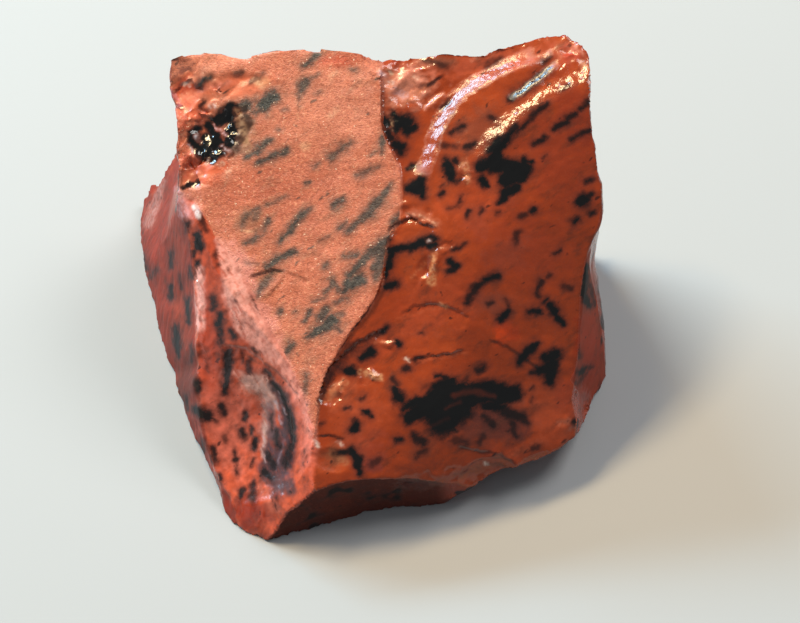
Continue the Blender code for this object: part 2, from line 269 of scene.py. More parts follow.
# The left edge of the matt split, the step between the split and the glossy lobe, the ridge between
# the two left faces, and the line where the narrow right face begins
SPLIT_LEFT_EDGE = [(154, 20), (163, 60), (167, 105), (172, 112), (174, 128), (178, 137), (173, 165),
                   (172, 178), (177, 197), (192, 200), (203, 213), (216, 238), (235, 262), (248, 285),
                   (262, 315), (283, 352), (298, 385), (312, 425), (315, 440), (318, 480)]
STEP = [(382, 20), (382, 130), (390, 148), (400, 165), (402, 190), (401, 210), (400, 222), (388, 240),
        (384, 270), (383, 285), (370, 310), (350, 333), (338, 353), (325, 378), (320, 400), (316, 437),
        (314, 480)]
LEFT_RIDGE = [(184, 200), (187, 232), (192, 255), (196, 320), (195, 345), (199, 390), (205, 430),
              (215, 475), (222, 485), (230, 498), (235, 512), (240, 540)]
RIGHT_RIDGE = [(600, 215), (594, 242), (585, 260), (580, 290), (578, 340), (577, 365), (570, 380),
               (585, 400), (590, 430)]

# Where the face under the front edge ends on the right
UNDER_FRONT_RIGHT = 455.0

left_of_split = beside_line(sheet, SPLIT_LEFT_EDGE)[0]
left_of_step = beside_line(sheet, STEP)[0]
left_of_ridge = beside_line(sheet, LEFT_RIDGE)[0]
left_of_sliver = beside_line(sheet, RIGHT_RIDGE)[0]
square_on = facing @ OUTWARD
front = rise(seen, 0.03, 0.15)
under_front = rise(-facing[:, 2], -0.3, -0.12) * rise(-facing[:, 1], 0.5, 0.7)
under_front = under_front * rise(facing[:, 0], -0.3, 0.0) * rise(UNDER_FRONT_RIGHT - sheet[:, 0], 0.0, 20.0)
beside_it = 1.0 - under_front
on_split = rise(-left_of_split, -1.0, 1.0) * rise(left_of_step, -1.8, 1.8) * rise(square_on, 0.5, 0.66)
on_lobe = rise(-left_of_step, -1.8, 1.8) * rise(left_of_sliver, -1.0, 1.0)
on_lobe = on_lobe * rise(square_on, 0.5, 0.62) * beside_it
on_left = rise(left_of_split, -1.0, 1.0) * rise(-left_of_ridge, -1.0, 1.0) * front * beside_it
on_far_left = rise(left_of_ridge, -1.0, 1.0) * front * beside_it

# The lump: its relief
# The split is grainy and the lobe is rippled like glass around the place where it was struck.
# Small chips, hairline steps and crushed corners are left from the blows.
# Behind, the swells spread from another blow. Lengths from ring to ring are in millimetres.
STRUCK = np.array((600.0, 235.0))
STRUCK_BEHIND = (-6.0, 26.0, 24.0)
LOBE_RINGS = 1.5
BACK_SWELLS = 2.2
SCAR_RINGS = 1.1

# Hairline steps: the line, how far the surface drops on its right as it runs, over what distance it
# comes back, and how dark the line along it is drawn: a dark crack, partly painted shade of the step
HAIRLINES = [
    ([(248, 278), (262, 272), (274, 270), (286, 271)], 0.22, 14.0, 0.9),
    ([(286, 271), (276, 287), (262, 302)], -0.12, 10.0, 0.35),
    ([(286, 271), (298, 276), (313, 283)], 0.06, 6.0, 0.45),
    ([(318, 405), (322, 388), (330, 368), (345, 352), (360, 340), (387, 327)], 0.32, 22.0, 0.4),
    ([(322, 380), (345, 345), (372, 322), (396, 300)], -0.05, 8.0, 0.0),
    ([(466, 348), (450, 353), (418, 358), (405, 361)], -0.20, 16.0, 0.1),
    ([(398, 315), (415, 306), (437, 303), (455, 309), (472, 319)], 0.18, 18.0, 0.08),
    ([(487, 339), (500, 343), (515, 352), (528, 361), (547, 373)], 0.12, 16.0, 0.6),
    ([(386, 236), (390, 228), (400, 222), (410, 217), (421, 224), (438, 227)], 0.28, 14.0, 0.95),
    ([(458, 248), (466, 264), (480, 282)], 0.04, 8.0, 0.0),
    ([(455, 446), (478, 451), (498, 454), (508, 459), (518, 467)], 0.14, 12.0, 0.8),
    ([(484, 461), (496, 464), (508, 467)], 0.08, 6.0, 0.6),
    ([(316, 437), (330, 435), (348, 441)], 0.16, 8.0, 0.8),
    ([(424, 89), (434, 81), (444, 73)], 0.22, 12.0, 0.95),
    ([(436, 109), (446, 101), (456, 92)], 0.10, 8.0, 0.4),
    ([(170, 95), (181, 84), (191, 79), (197, 88), (206, 86)], 0.25, 12.0, 0.6),
    ([(176, 152), (186, 140), (196, 128)], -0.2, 12.0, 0.3),
    ([(222, 345), (245, 348), (262, 360), (285, 380), (300, 398)], 0.14, 18.0, 0.3),
    ([(240, 352), (262, 366), (278, 384), (290, 408), (294, 440)], 0.10, 10.0, 0.0),
    ([(258, 400), (266, 412), (270, 430), (266, 450)], 0.10, 7.0, 0.0),
    ([(556, 76), (566, 62), (578, 60), (586, 64)], -0.15, 10.0, 0.3),
]

# Crushed patches: middle, half length, half width, turn, size of the little facets in millimetres,
# how steep they are, how deep they lie
CRUSHED = [
    (193, 95, 30, 27, 70, 1.2, 0.32, 0.16),
    (213, 133, 23, 30, -35, 0.9, 0.22, 0.34),
    (238, 86, 36, 15, 10, 0.9, 0.26, 0.06),
    (240, 128, 14, 24, 0, 0.6, 0.24, 0.05),
    (197, 172, 26, 17, 35, 1.5, 0.40, 0.18),
    (188, 212, 9, 16, 10, 1.0, 0.22, 0.08),
    (404, 84, 30, 24, 10, 1.1, 0.26, 0.12),
    (392, 122, 7, 13, 15, 0.6, 0.4, 0.08),
    (414, 212, 22, 10, -10, 0.8, 0.3, 0.1),
    (426, 266, 24, 10, 60, 0.7, 0.38, 0.0),
    (371, 376, 16, 9, 20, 0.7, 0.42, 0.0),
    (337, 390, 20, 10, 50, 0.7, 0.34, 0.0),
    (385, 341, 16, 7, -5, 0.7, 0.32, 0.0),
    (466, 170, 9, 17, 10, 0.7, 0.36, 0.0),
    (565, 426, 14, 10, 20, 0.9, 0.32, 0.0),
    (500, 462, 38, 13, 12, 1.2, 0.13, 0.0),
    (572, 52, 20, 15, -20, 1.2, 0.22, 0.08),
    (581, 408, 12, 24, -10, 1.1, 0.22, 0.1),
    (333, 458, 20, 16, 0, 0.9, 0.12, 0.0),
    (199, 292, 34, 5, 92, 0.6, 0.26, 0.04), (201, 352, 28, 5, 86, 0.7, 0.20, 0.0),
    (222, 492, 24, 6, -62, 0.7, 0.20, 0.0),
    (240, 290, 40, 10, -60, 0.8, 0.12, 0.0),
    (443, 247, 11, 7, 20, 0.7, 0.32, 0.0),
    (425, 480, 34, 12, 10, 1.1, 0.18, 0.02),
]

# Ripples of the glossy break, which fall away on their left: the line, how steeply, half the width of
# the fall, how far its backs reach, and how rough its fall is to the light
SHOULDER = 1.1
RIPPLES = [
    ([(470, 166), (478, 156), (490, 138), (502, 126), (516, 114), (530, 103), (545, 94), (560, 86),
      (575, 78), (592, 66), (606, 58)],
     0.39, 10.0, 20.0, 0.2),
    ([(421, 180), (424, 172), (430, 152), (436, 132), (443, 114), (452, 101), (463, 91), (476, 82),
      (490, 75), (504, 67), (520, 60), (540, 52)], 0.45, 8.5, 20.0, 0.27),
    ([(421, 112), (428, 104), (437, 96), (447, 90)], 1.05, 3.5, 5.0, 0.24),
    ([(522, 66), (532, 60), (548, 54), (556, 50)], 0.50, 3.5, 6.0, 0.24),
    ([(508, 101), (522, 90), (536, 80), (550, 68), (560, 60)], 0.85, 4.0, 8.0, 0.24),
    ([(412, 112), (420, 98), (430, 88), (444, 78)], 0.14, 2.5, 8.0, 0.15),
    ([(476, 108), (492, 98), (506, 90), (520, 78)], 0.05, 4.0, 9.0, 0.15),
    ([(548, 120), (562, 110), (576, 103), (590, 96)], 0.05, 4.0, 12.0, 0.15),
    ([(505, 158), (520, 148), (540, 136), (560, 124)], 0.04, 5.0, 14.0, 0.15),
]

# Flake scars of the sides that the front doesn't show: middle in millimetres, half width, depth
SCARS = [
    ((-14.0, 21.0, 16.0), 6.5, 0.5), ((6.0, 20.0, 20.0), 5.5, 0.4), ((14.0, 19.0, 9.0), 6.0, 0.45),
    ((-3.0, 20.0, 7.0), 5.0, 0.35), ((-19.0, 18.0, 6.0), 4.5, 0.35), ((20.0, 12.0, 20.0), 5.0, 0.4),
    ((22.0, 2.0, 8.0), 5.5, 0.4), ((20.0, -8.0, 6.0), 4.0, 0.3), ((21.0, 14.0, 6.0), 4.0, 0.3),
    ((-22.0, 8.0, 8.0), 4.5, 0.3),
]


def facets(points, x, y, half_long, half_wide, turn, size, steepness, seed):
    """Heights of little flat facets that meet at random corners in a patch, and the patch's share."""
    share = 1.0 - rise(in_oval(points, x, y, half_long, half_wide, turn) + 0.3 * small_waves, 0.5, 1.1)
    near = np.nonzero(share > 0.0)[0]
    heights = np.zeros(len(points))
    random = np.random.RandomState(seed)
    spread = max(half_long, half_wide) * 1.4
    number = max(int((2.0 * spread / (10.0 * size)) ** 2), 8)
    corners = [Vector(p) for p in random.uniform(-spread, spread, (number, 2)) + (x, y)]
    corners += [Vector((x + a * 3.0 * spread, y + b * 3.0 * spread)) for a in (-1, 1) for b in (-1, 1)]
    flat, _, triangles, _, _, _ = geometry.delaunay_2d_cdt(corners, [], [], 0, 0.001)
    lifts = random.normal(0.0, steepness * size * 5.0, len(flat))
    sheet_of_facets = bvhtree.BVHTree.FromPolygons(
        [(p.x, p.y, lift) for p, lift in zip(flat, lifts)], triangles)
    for vertex in near:
        a, b = points[vertex]
        hit = sheet_of_facets.ray_cast(Vector((a, b, 900.0)), Vector((0.0, 0.0, -1.0)))[0]
        heights[vertex] = hit.z / 10.0 if hit else 0.0
    return heights, share


broad_waves = waves(3.0, 11)
small_waves = waves(0.8, 12)
warped = sheet + 1.6 * np.column_stack((small_waves, waves(0.8, 13)))
flow = waves(1.5, 14, stretch=(2.0, 0.8, 0.8))

relief = np.zeros(count)
relief += on_split * (0.014 * waves(0.45, 15) + 0.03 * flow + 0.05 * broad_waves)
from_struck = np.hypot(*(sheet - STRUCK).T) / 10.0
lobe_rings = 0.010 * np.sin(from_struck * 2.0 * math.pi / LOBE_RINGS + 2.0 * broad_waves)
relief += on_lobe * (lobe_rings * (0.4 + flow))
relief += on_lobe * (0.05 * broad_waves + 0.014 * small_waves + 0.045 * waves(1.6, 19))
streaks = waves(0.7, 16, stretch=(0.8, 0.8, 5.0))
relief += (on_left + on_far_left) * (0.035 * streaks + 0.05 * broad_waves)
from_blow = np.linalg.norm(places - STRUCK_BEHIND, axis=1)
swell = np.sin(from_blow * 2.0 * math.pi / BACK_SWELLS + 2.5 * broad_waves) * (0.6 + flow)
relief += (1.0 - front) * (0.10 * broad_waves + 0.05 * flow + 0.08 * swell)

flank = np.zeros(count)
flank_polish = np.full(count, 0.2)
shoulder = np.zeros(count)
for line, steepness, half_wide, back, rough in RIPPLES:
    beside, along, run = beside_line(warped, line)
    fade = 10.0 + 2.0 * max(half_wide - 3.5, 0.0)
    ends = rise(along, 0.0, fade) * rise(run - along, 0.0, fade) * on_lobe
    reach = [(beside + side) / SHOULDER for side in (half_wide, -half_wide)]
    step = SHOULDER * (np.logaddexp(reach[0], -reach[0]) - np.logaddexp(reach[1], -reach[1]))
    relief += 0.05 * steepness * ends * step * np.exp(-np.abs(beside) / back)
    if steepness > 0.3:
        here = ends * 0.5 * (np.tanh(reach[0]) - np.tanh(reach[1]))
        flank_polish = np.where(here > flank, rough, flank_polish)
        flank = np.maximum(flank, here)
        if rough > 0.2:
            shoulder = np.maximum(shoulder, (4.0 * here * (1.0 - here)) ** 2)
relief += 0.006 * flank * waves(0.3, 18)

bent = places + 0.25 * np.column_stack((small_waves, broad_waves, -small_waves))
scar = np.zeros(count)
for middle, half_wide, depth in SCARS:
    out = np.linalg.norm(bent - middle, axis=1)
    dish = 1.3 * depth * np.maximum(1.0 - (out / half_wide) ** 2, 0.0)
    dish += 0.04 * np.sin(out * 2.0 * math.pi / SCAR_RINGS) * (dish > 0.0)
    scar = np.maximum(scar, dish)
relief -= scar * (1.0 - front)

crack_and_step_shade = np.zeros(count)
for line, drop, back, dark in HAIRLINES:
    beside, along, run = beside_line(warped, line)
    ends = rise(along, 0.0, 7.0) * rise(run - along, 0.0, 7.0) * front
    relief -= drop * ends * rise(beside, -1.2, 1.2) * np.exp(-np.maximum(beside, 0.0) / back)
    crack_and_step_shade = np.maximum(crack_and_step_shade, dark * ends * (1.0 - rise(np.abs(beside), 0.3, 2.3)))
for number, (x, y, half_long, half_wide, turn, size, steepness, depth) in enumerate(CRUSHED):
    heights, share = facets(warped, x, y, half_long, half_wide, turn, size, steepness, 40 + number)
    relief += share * front * (heights - depth)

chips = np.maximum(waves(2.2, 17) - 0.05, 0.0) * np.exp(-(from_arris / 0.5) ** 2)
relief -= 0.14 * chips
places = places + facing * relief[:, None]
places[:, 2] = np.maximum(places[:, 2], 0.0)
put_back(places)

# The lump: its black
# Black glassy stone lies in the red as blotches and streaks, drawn out where it once flowed. On the
# matt split they are mottled grey. Each is a stroke on the sheet: from, to, half widths, how strong.
SPLIT_STROKES = [
    (262, 106, 273, 97, 8, 8, 1.0), (256, 113, 262, 108, 4, 6, 0.8), (222, 118, 246, 106, 9, 8, 0.9),
    (234, 148, 246, 120, 9, 9, 0.62), (246, 157, 258, 150, 4, 5, 0.9), (258, 149, 270, 140, 5, 4, 0.85),
    (257, 163, 272, 157, 3, 5, 0.9), (272, 156, 287, 151, 5, 4, 0.85), (277, 131, 279, 130, 3, 3, 0.6),
    (300, 91, 306, 80, 5, 6, 0.8), (306, 80, 318, 74, 5, 3, 0.4), (299, 92, 299, 106, 4, 2, 0.45),
    (304, 66, 318, 54, 4, 4, 0.9), (200, 84, 207, 77, 4, 5, 0.95), (331, 157, 350, 143, 6, 5, 0.62),
    (358, 175, 378, 166, 5, 4, 0.4), (381, 151, 386, 132, 4, 4, 0.75), (370, 155, 382, 148, 3, 3, 0.4),
    (305, 183, 309, 182, 3, 3, 0.7), (333, 205, 344, 200, 4.5, 4.5, 0.85), (346, 232, 366, 216, 4, 6, 0.75),
    (366, 216, 380, 200, 6, 7, 0.8), (380, 198, 392, 184, 6, 2, 0.75), (340, 228, 347, 223, 4, 3, 0.7),
    (279, 243, 290, 230, 3.5, 5, 0.95), (290, 230, 298, 219, 5, 4, 0.9), (298, 218, 310, 209, 5, 3, 0.85),
    (241, 227, 246, 214, 4, 4, 0.55), (247, 214, 258, 208, 4, 3, 0.5), (254, 218, 259, 212, 3, 3, 0.5),
    (246, 243, 258, 236, 4, 5, 0.7), (264, 230, 269, 220, 3.5, 4, 0.7), (258, 264, 246, 262, 2, 2, 0.4),
    (266, 268, 280, 258, 3.5, 5.5, 0.95), (280, 258, 296, 251, 5.5, 3, 0.9), (258, 294, 268, 277, 4, 6, 0.6),
    (272, 273, 284, 270, 3, 2, 0.8), (279, 313, 282, 311, 3.5, 3.5, 0.8),
    (293, 312, 297, 312, 2.5, 2.5, 0.5),
    (304, 322, 310, 311, 3, 4, 0.8), (306, 337, 320, 330, 3, 7, 0.95), (318, 330, 333, 321, 8, 8, 0.95),
    (321, 318, 326, 311, 6, 6, 0.8), (334, 324, 341, 331, 5, 2, 0.55), (324, 268, 326, 263, 3.5, 4, 0.6),
    (331, 280, 339, 290, 5, 5, 0.7), (324, 293, 334, 286, 3.5, 5, 0.6), (312, 301, 326, 297, 3, 3, 0.45),
    (388, 240, 372, 252, 8, 7, 0.85), (372, 252, 360, 262, 6, 5, 0.85), (384, 250, 377, 268, 7, 8, 0.8),
    (376, 276, 381, 262, 7, 8, 0.65), (345, 256, 355, 254, 4, 4, 0.85), (362, 263, 349, 274, 6, 5, 0.9),
    (349, 285, 360, 280, 8, 8, 0.95), (344, 291, 350, 284, 5, 6, 0.9), (335, 303, 346, 299, 4, 4, 0.6),
    (338, 316, 344, 314, 5, 4, 0.35), (286, 353, 292, 345, 5, 5, 0.8), (304, 392, 306, 374, 3.5, 4, 0.5),
    (319, 241, 329, 236, 3, 3, 0.35), (361, 178, 366, 172, 4, 4, 0.35), (314, 167, 318, 163, 3, 3, 0.45),
    (252, 81, 263, 74, 3, 3, 0.55), (236, 73, 241, 71, 2.5, 3, 0.6), (218, 88, 226, 83, 2.5, 2.5, 0.4),
    (314, 95, 322, 91, 3, 2.5, 0.35), (282, 110, 288, 109, 2, 2, 0.45), (392, 222, 404, 212, 4, 5, 0.75),
    (308, 420, 305, 404, 3, 3, 0.35), (352, 70, 356, 69, 4, 3, 0.5), (268, 205, 286, 196, 4, 3, 0.3),
]
GLASSY_STROKES = [
    (213, 122, 232, 110, 6, 8, 1.0), (207, 126, 216, 136, 5, 6, 1.0), (194, 138, 205, 150, 8, 9, 1.0),
    (204, 152, 214, 158, 9, 6, 1.0), (212, 160, 222, 152, 5, 5, 1.0), (228, 140, 232, 126, 6, 7, 1.0),
    (219, 152, 230, 144, 5, 4, 1.0), (206, 140, 222, 146, 9, 8, 1.0), (190, 132, 198, 128, 3, 4, 1.0),
    (200, 106, 203, 101, 3, 3, 0.8),
    (175, 105, 181, 106, 2.5, 3, 0.8), (183, 188, 196, 182, 3, 3, 0.95), (228, 157, 232, 155, 2.5, 3, 0.6),
]
LOBE_STROKES = [
    (382, 119, 388, 121, 5, 6, 1.0), (393, 114, 396, 130, 4, 5, 1.0), (397, 122, 408, 121, 8, 7, 1.0),
    (407, 131, 414, 127, 7, 4, 1.0), (388, 132, 391, 138, 5, 4, 0.9), (396, 144, 402, 147, 7, 6, 1.0),
    (400, 151, 401, 153, 4, 4, 0.95), (408, 169, 413, 166, 3, 4, 0.95), (407, 189, 421, 181, 5, 6, 1.0),
    (421, 181, 423, 196, 6, 4, 1.0), (411, 188, 419, 190, 6, 7, 1.0), (448, 165, 452, 178, 7, 5, 1.0),
    (455, 161, 458, 163, 4, 3, 0.9), (478, 168, 496, 158, 6, 9, 1.0), (496, 150, 513, 132, 7, 5, 1.0),
    (502, 140, 516, 126, 4, 4, 0.9), (494, 166, 524, 168, 9, 9, 1.0), (482, 180, 487, 186, 6, 4, 1.0),
    (505, 180, 521, 174, 9, 9, 1.0), (506, 194, 515, 187, 7, 7, 1.0), (498, 203, 506, 197, 3, 5, 1.0),
    (524, 161, 532, 163, 5, 2.5, 1.0), (489, 152, 499, 140, 5, 5, 1.0), (514, 134, 531, 119, 3, 3, 0.8),
    (531, 116, 548, 104, 4, 3, 0.85), (560, 92, 569, 86, 2.5, 2.5, 0.6), (452, 133, 463, 126, 3, 3, 0.85),
    (466, 147, 475, 143, 3.5, 3, 0.8), (444, 146, 457, 147, 3.5, 3, 0.4), (489, 116, 494, 120, 3, 3.5, 0.6),
    (580, 109, 589, 102, 3, 4, 0.9), (567, 119, 575, 114, 3, 3, 0.85), (553, 130, 567, 122, 3, 4, 0.9),
    (534, 145, 545, 138, 3, 3.5, 0.9), (571, 140, 590, 130, 2.5, 4, 0.85), (543, 158, 547, 155, 2, 2, 0.5),
    (580, 203, 584, 199, 6, 7, 1.0), (587, 196, 591, 194, 4, 3, 0.9), (590, 214, 594, 212, 3, 3, 0.9),
    (574, 222, 577, 220, 4, 4, 1.0), (586, 182, 591, 180, 3.5, 3, 0.85), (531, 212, 535, 210, 3, 3.5, 0.95),
    (520, 217, 525, 215, 4, 4, 0.6), (516, 243, 518, 233, 3, 4, 0.6), (555, 254, 560, 250, 2.5, 3, 0.8),
    (496, 213, 500, 213, 2.5, 2.5, 0.6), (480, 213, 482, 210, 2.5, 2.5, 0.65),
    (466, 217, 469, 210, 2.5, 3, 0.85),
    (440, 195, 443, 192, 2.5, 3, 0.85), (440, 187, 443, 185, 2, 2.5, 0.5), (458, 206, 461, 197, 3, 3, 0.7),
    (446, 209, 456, 207, 2.5, 3, 0.4), (457, 182, 460, 180, 2.5, 2.5, 0.85),
    (453, 250, 466, 243, 3, 2, 0.85),
    (449, 261, 456, 266, 3.5, 4.5, 1.0), (450, 270, 454, 269, 4, 4, 0.95), (398, 249, 411, 247, 4, 5, 1.0),
    (411, 247, 425, 241, 5, 6, 1.0), (424, 241, 434, 239, 6, 5, 1.0), (430, 246, 436, 245, 4, 3, 1.0),
    (387, 244, 391, 228, 3, 2.5, 1.0), (386, 250, 399, 249, 4, 4, 1.0), (392, 254, 388, 264, 4, 5, 1.0),
    (388, 264, 385, 277, 5, 3, 1.0), (385, 287, 395, 283, 4, 5, 1.0), (497, 276, 486, 280, 4, 5, 1.0),
    (485, 282, 476, 288, 4, 4, 0.9), (474, 290, 467, 304, 5, 4, 0.85), (488, 304, 492, 302, 3, 3, 0.6),
    (509, 311, 501, 319, 4, 4.5, 1.0), (506, 300, 510, 308, 3, 3, 0.45), (541, 281, 537, 294, 3.5, 4, 0.75),
    (529, 312, 539, 311, 4, 4, 1.0), (544, 302, 546, 299, 3, 3, 0.9), (551, 305, 555, 313, 4.5, 5, 1.0),
    (556, 315, 563, 324, 4, 3.5, 1.0), (548, 277, 550, 275, 2.5, 2.5, 0.6), (564, 286, 572, 288, 4, 4, 0.4),
    (519, 363, 530, 350, 4, 6, 1.0), (530, 351, 536, 344, 6, 4, 1.0), (546, 358, 556, 355, 6, 7, 1.0),
    (540, 371, 550, 367, 6, 9, 1.0), (550, 381, 553, 362, 6, 7, 1.0), (533, 373, 540, 372, 3, 4, 0.85),
    (409, 417, 440, 402, 8, 18, 1.0), (440, 400, 462, 396, 18, 17, 1.0), (442, 420, 466, 411, 18, 9, 1.0),
    (462, 396, 492, 393, 15, 13, 1.0), (490, 393, 514, 393, 12, 9, 1.0), (436, 387, 451, 381, 6, 6, 1.0),
    (406, 408, 418, 400, 5, 6, 1.0), (497, 402, 516, 396, 5, 6, 1.0), (485, 405, 503, 408, 6, 5, 1.0),
    (503, 411, 522, 417, 6, 5, 0.85), (520, 417, 529, 423, 4, 3, 0.7), (484, 416, 492, 424, 5, 4, 0.6),
    (512, 422, 516, 436, 4, 4, 0.6), (395, 389, 400, 399, 5, 7, 1.0), (392, 378, 397, 384, 3, 4, 0.5),
    (361, 358, 371, 352, 4, 6, 1.0), (347, 371, 353, 371, 5, 5, 1.0), (353, 430, 356, 424, 5, 5, 1.0),
    (396, 440, 400, 440, 3, 3, 1.0), (361, 411, 367, 413, 2.5, 3, 1.0), (369, 416, 371, 417, 2, 2.5, 0.9),
    (361, 399, 364, 397, 2.5, 2.5, 0.8), (344, 408, 350, 407, 2, 2, 0.8), (383, 331, 387, 328, 2.5, 3, 1.0),
    (396, 342, 399, 345, 2.5, 3, 1.0), (404, 370, 409, 367, 3, 4, 0.8), (418, 334, 423, 333, 2, 2.5, 0.5),
    (416, 361, 422, 358, 3, 3, 0.75), (334, 455, 350, 450, 3, 4, 0.9), (351, 450, 358, 461, 5, 5, 1.0),
    (358, 461, 360, 474, 5, 3, 1.0), (372, 464, 379, 460, 5, 4, 0.4), (414, 436, 424, 442, 5, 5, 0.85),
    (425, 449, 416, 457, 4, 3, 0.6), (478, 371, 484, 366, 4, 4, 0.85), (455, 440, 466, 441, 6, 5, 0.35),
    (478, 442, 484, 436, 4, 4, 0.45), (533, 449, 537, 447, 3, 3.5, 0.7),
    (575, 422, 580, 417, 3.5, 3.5, 0.95),
    (511, 98, 530, 85, 5, 5, 0.85), (530, 85, 548, 69, 5, 4, 0.75), (543, 62, 552, 56, 3, 2, 0.7),
    (440, 107, 448, 101, 3, 3, 0.6), (487, 66, 501, 57, 4, 3, 0.4), (425, 60, 448, 66, 4, 4, 0.35),
    (464, 386, 470, 382, 2, 2, 0.5), (530, 390, 533, 386, 2, 2, 0.5), (531, 402, 533, 398, 2, 2, 0.4),
    (318, 424, 324, 422, 2.5, 2.5, 0.5), (436, 375, 448, 378, 3, 4, 0.9), (440, 433, 455, 430, 5, 3, 0.9),
]
RED_STROKES = [
    (454, 396, 470, 391, 2.5, 3, 0.5), (470, 391, 494, 396, 3, 2, 0.5), (446, 408, 460, 402, 1.5, 1.5, 0.3),
    (424, 430, 448, 418, 1.5, 1.5, 0.2),
]
SIDE_STROKES = [
    (586, 268, 583, 295, 4, 5, 1.0), (583, 295, 589, 305, 5, 4, 1.0), (590, 285, 595, 306, 3, 3, 0.55),
    (580, 373, 585, 369, 4, 4, 0.9), (589, 368, 593, 366, 2, 2, 0.6), (577, 345, 579, 357, 3, 3, 0.5),
    (575, 385, 588, 372, 2.5, 2, 0.4),
    (197, 236, 199, 247, 5, 6, 1.0), (194, 251, 194, 257, 3, 2, 0.8), (187, 223, 188, 231, 3, 3, 0.8),
    (200, 214, 206, 231, 4, 4, 0.6), (197, 261, 198, 274, 3, 3.5, 1.0), (190, 267, 191, 277, 2, 2.5, 0.8),
    (213, 298, 214, 308, 4, 4, 0.9), (220, 314, 219, 324, 4, 5, 1.0), (220, 327, 221, 343, 3, 3.5, 0.9),
    (231, 332, 234, 336, 4, 4, 0.9), (216, 256, 220, 245, 4, 4, 0.6), (218, 264, 220, 264, 2.5, 2.5, 0.7),
    (226, 271, 228, 269, 2.5, 3, 0.5), (235, 301, 237, 299, 2.5, 2.5, 0.6), (254, 297, 258, 310, 4, 4, 0.6),
    (228, 354, 227, 372, 6, 5, 0.95), (227, 372, 225, 392, 5, 4, 0.95), (222, 406, 224, 414, 4, 4, 0.85),
    (198, 383, 198, 390, 4, 4, 0.9), (196, 410, 207, 416, 5, 7, 0.95), (214, 419, 216, 421, 3, 3, 0.6),
    (246, 412, 245, 420, 3.5, 3, 0.85), (242, 429, 243, 436, 3, 3.5, 0.85),
    (252, 427, 252, 434, 2.5, 2.5, 0.85),
    (255, 439, 254, 448, 3, 3, 0.95), (213, 449, 215, 460, 4, 5, 0.85), (235, 452, 236, 460, 3, 3.5, 0.85),
    (225, 438, 227, 443, 2.5, 3, 0.45), (219, 475, 221, 478, 3, 3, 0.9), (237, 465, 237, 474, 2, 2.5, 0.75),
    (254, 483, 252, 498, 4, 5, 0.8), (243, 491, 240, 497, 4, 3, 0.9), (254, 459, 251, 467, 2.5, 2, 0.7),
    (253, 348, 258, 352, 2.5, 2, 0.85), (242, 354, 243, 362, 3, 3, 0.6), (248, 361, 250, 374, 3.5, 4, 0.7),
    (265, 371, 268, 378, 4, 4, 0.8), (272, 383, 281, 395, 2, 3, 0.9), (282, 397, 290, 418, 3, 3.5, 0.85),
    (291, 420, 293, 440, 3.5, 4, 0.85), (292, 445, 286, 464, 4, 5, 0.75), (276, 432, 278, 446, 3, 4, 0.7),
    (272, 415, 271, 431, 2, 2, 0.6), (266, 452, 274, 466, 4, 5, 0.7), (264, 471, 271, 478, 4, 3, 0.8),
    (273, 498, 276, 508, 4, 3, 0.7),
    (304, 450, 303, 464, 2.5, 2.5, 0.9), (171, 252, 171, 267, 2.5, 3, 0.8),
    (171, 286, 171, 297, 3, 3.5, 0.9),
    (188, 299, 188, 322, 3, 2.5, 0.95), (176, 328, 177, 345, 4, 5, 0.95), (177, 345, 179, 357, 4, 2, 0.95),
    (180, 275, 182, 289, 2, 2, 0.6), (142, 257, 146, 269, 4, 3, 0.7), (150, 278, 156, 270, 3, 3, 0.5),
    (192, 345, 191, 362, 2.5, 2, 0.6), (203, 440, 204, 452, 2.5, 2, 0.7), (186, 395, 188, 410, 2, 2, 0.6),
    (242, 330, 245, 322, 2, 2, 0.4), (208, 470, 211, 480, 2, 2, 0.5), (206, 360, 208, 372, 2, 2, 0.4),
]
# How far right the side strokes and how far down the glassy ones reach on the sheet
SIDES_RIGHT = 600.0
GLASSY_LOWEST = 300.0


def inked(points, strokes):
    """How far inside its nearest stroke each sheet point lies, and how strong that stroke is."""
    inside = np.full(len(points), -3.0)
    strength = np.zeros(len(points))
    for x0, y0, x1, y1, half0, half1, strong in strokes:
        leg = np.array((x1 - x0, y1 - y0), float)
        offset = points - (x0, y0)
        part = np.clip((offset @ leg) / (leg @ leg), 0.0, 1.0)
        gap = offset - part[:, None] * leg
        half = half0 + (half1 - half0) * part
        depth = (half - np.hypot(gap[:, 0], gap[:, 1])) / np.sqrt(4.0 * half)
        deeper = depth > inside
        inside = np.where(deeper, depth, inside)
        strength = np.where(deeper, strong, strength)
    return inside, strength


def blend_in(under, over, share):
    """One field over another where its share is one."""
    return under + (over - under) * share


ink = 4.5 * waves(2.6, 21, stretch=(1.5, 1.0, 1.4), octaves=3) + 1.2 * broad_waves - 1.5
ink = blend_in(ink, -3.0, front * rise(facing[:, 2], 0.1, 0.3))
strength = 0.75 + 0.25 * np.clip(waves(2.0, 22), -1.0, 1.0)
for region, strokes in ((on_split, SPLIT_STROKES), (on_lobe, LOBE_STROKES)):
    inside, strong = inked(warped, strokes)
    ink = blend_in(ink, inside, region)
    strength = blend_in(strength, strong, region)
sides = front * (1.0 - on_split) * (1.0 - on_lobe) * rise(SIDES_RIGHT - sheet[:, 0], 0.0, 5.0)
inside, strong = inked(warped, SIDE_STROKES)
sides = sides * (on_left + on_far_left + rise(-left_of_sliver, -1.0, 1.0))
ink = blend_in(ink, inside, np.clip(sides, 0.0, 1.0))
strength = blend_in(strength, strong, np.clip(sides, 0.0, 1.0))
inside, strong = inked(warped, GLASSY_STROKES)
glassy = front * rise(inside, -0.3, 0.3) * rise(GLASSY_LOWEST - sheet[:, 1], 0.0, 20.0)
ink = np.where((inside > ink) & (front > 0.5), inside, ink)
strength = np.where(glassy > 0.5, strong, strength)
inside, strong = inked(warped, RED_STROKES)
strength = strength * (1.0 - np.clip(strong, 0.0, 1.0) * rise(inside, -0.7, 0.6) * on_lobe)
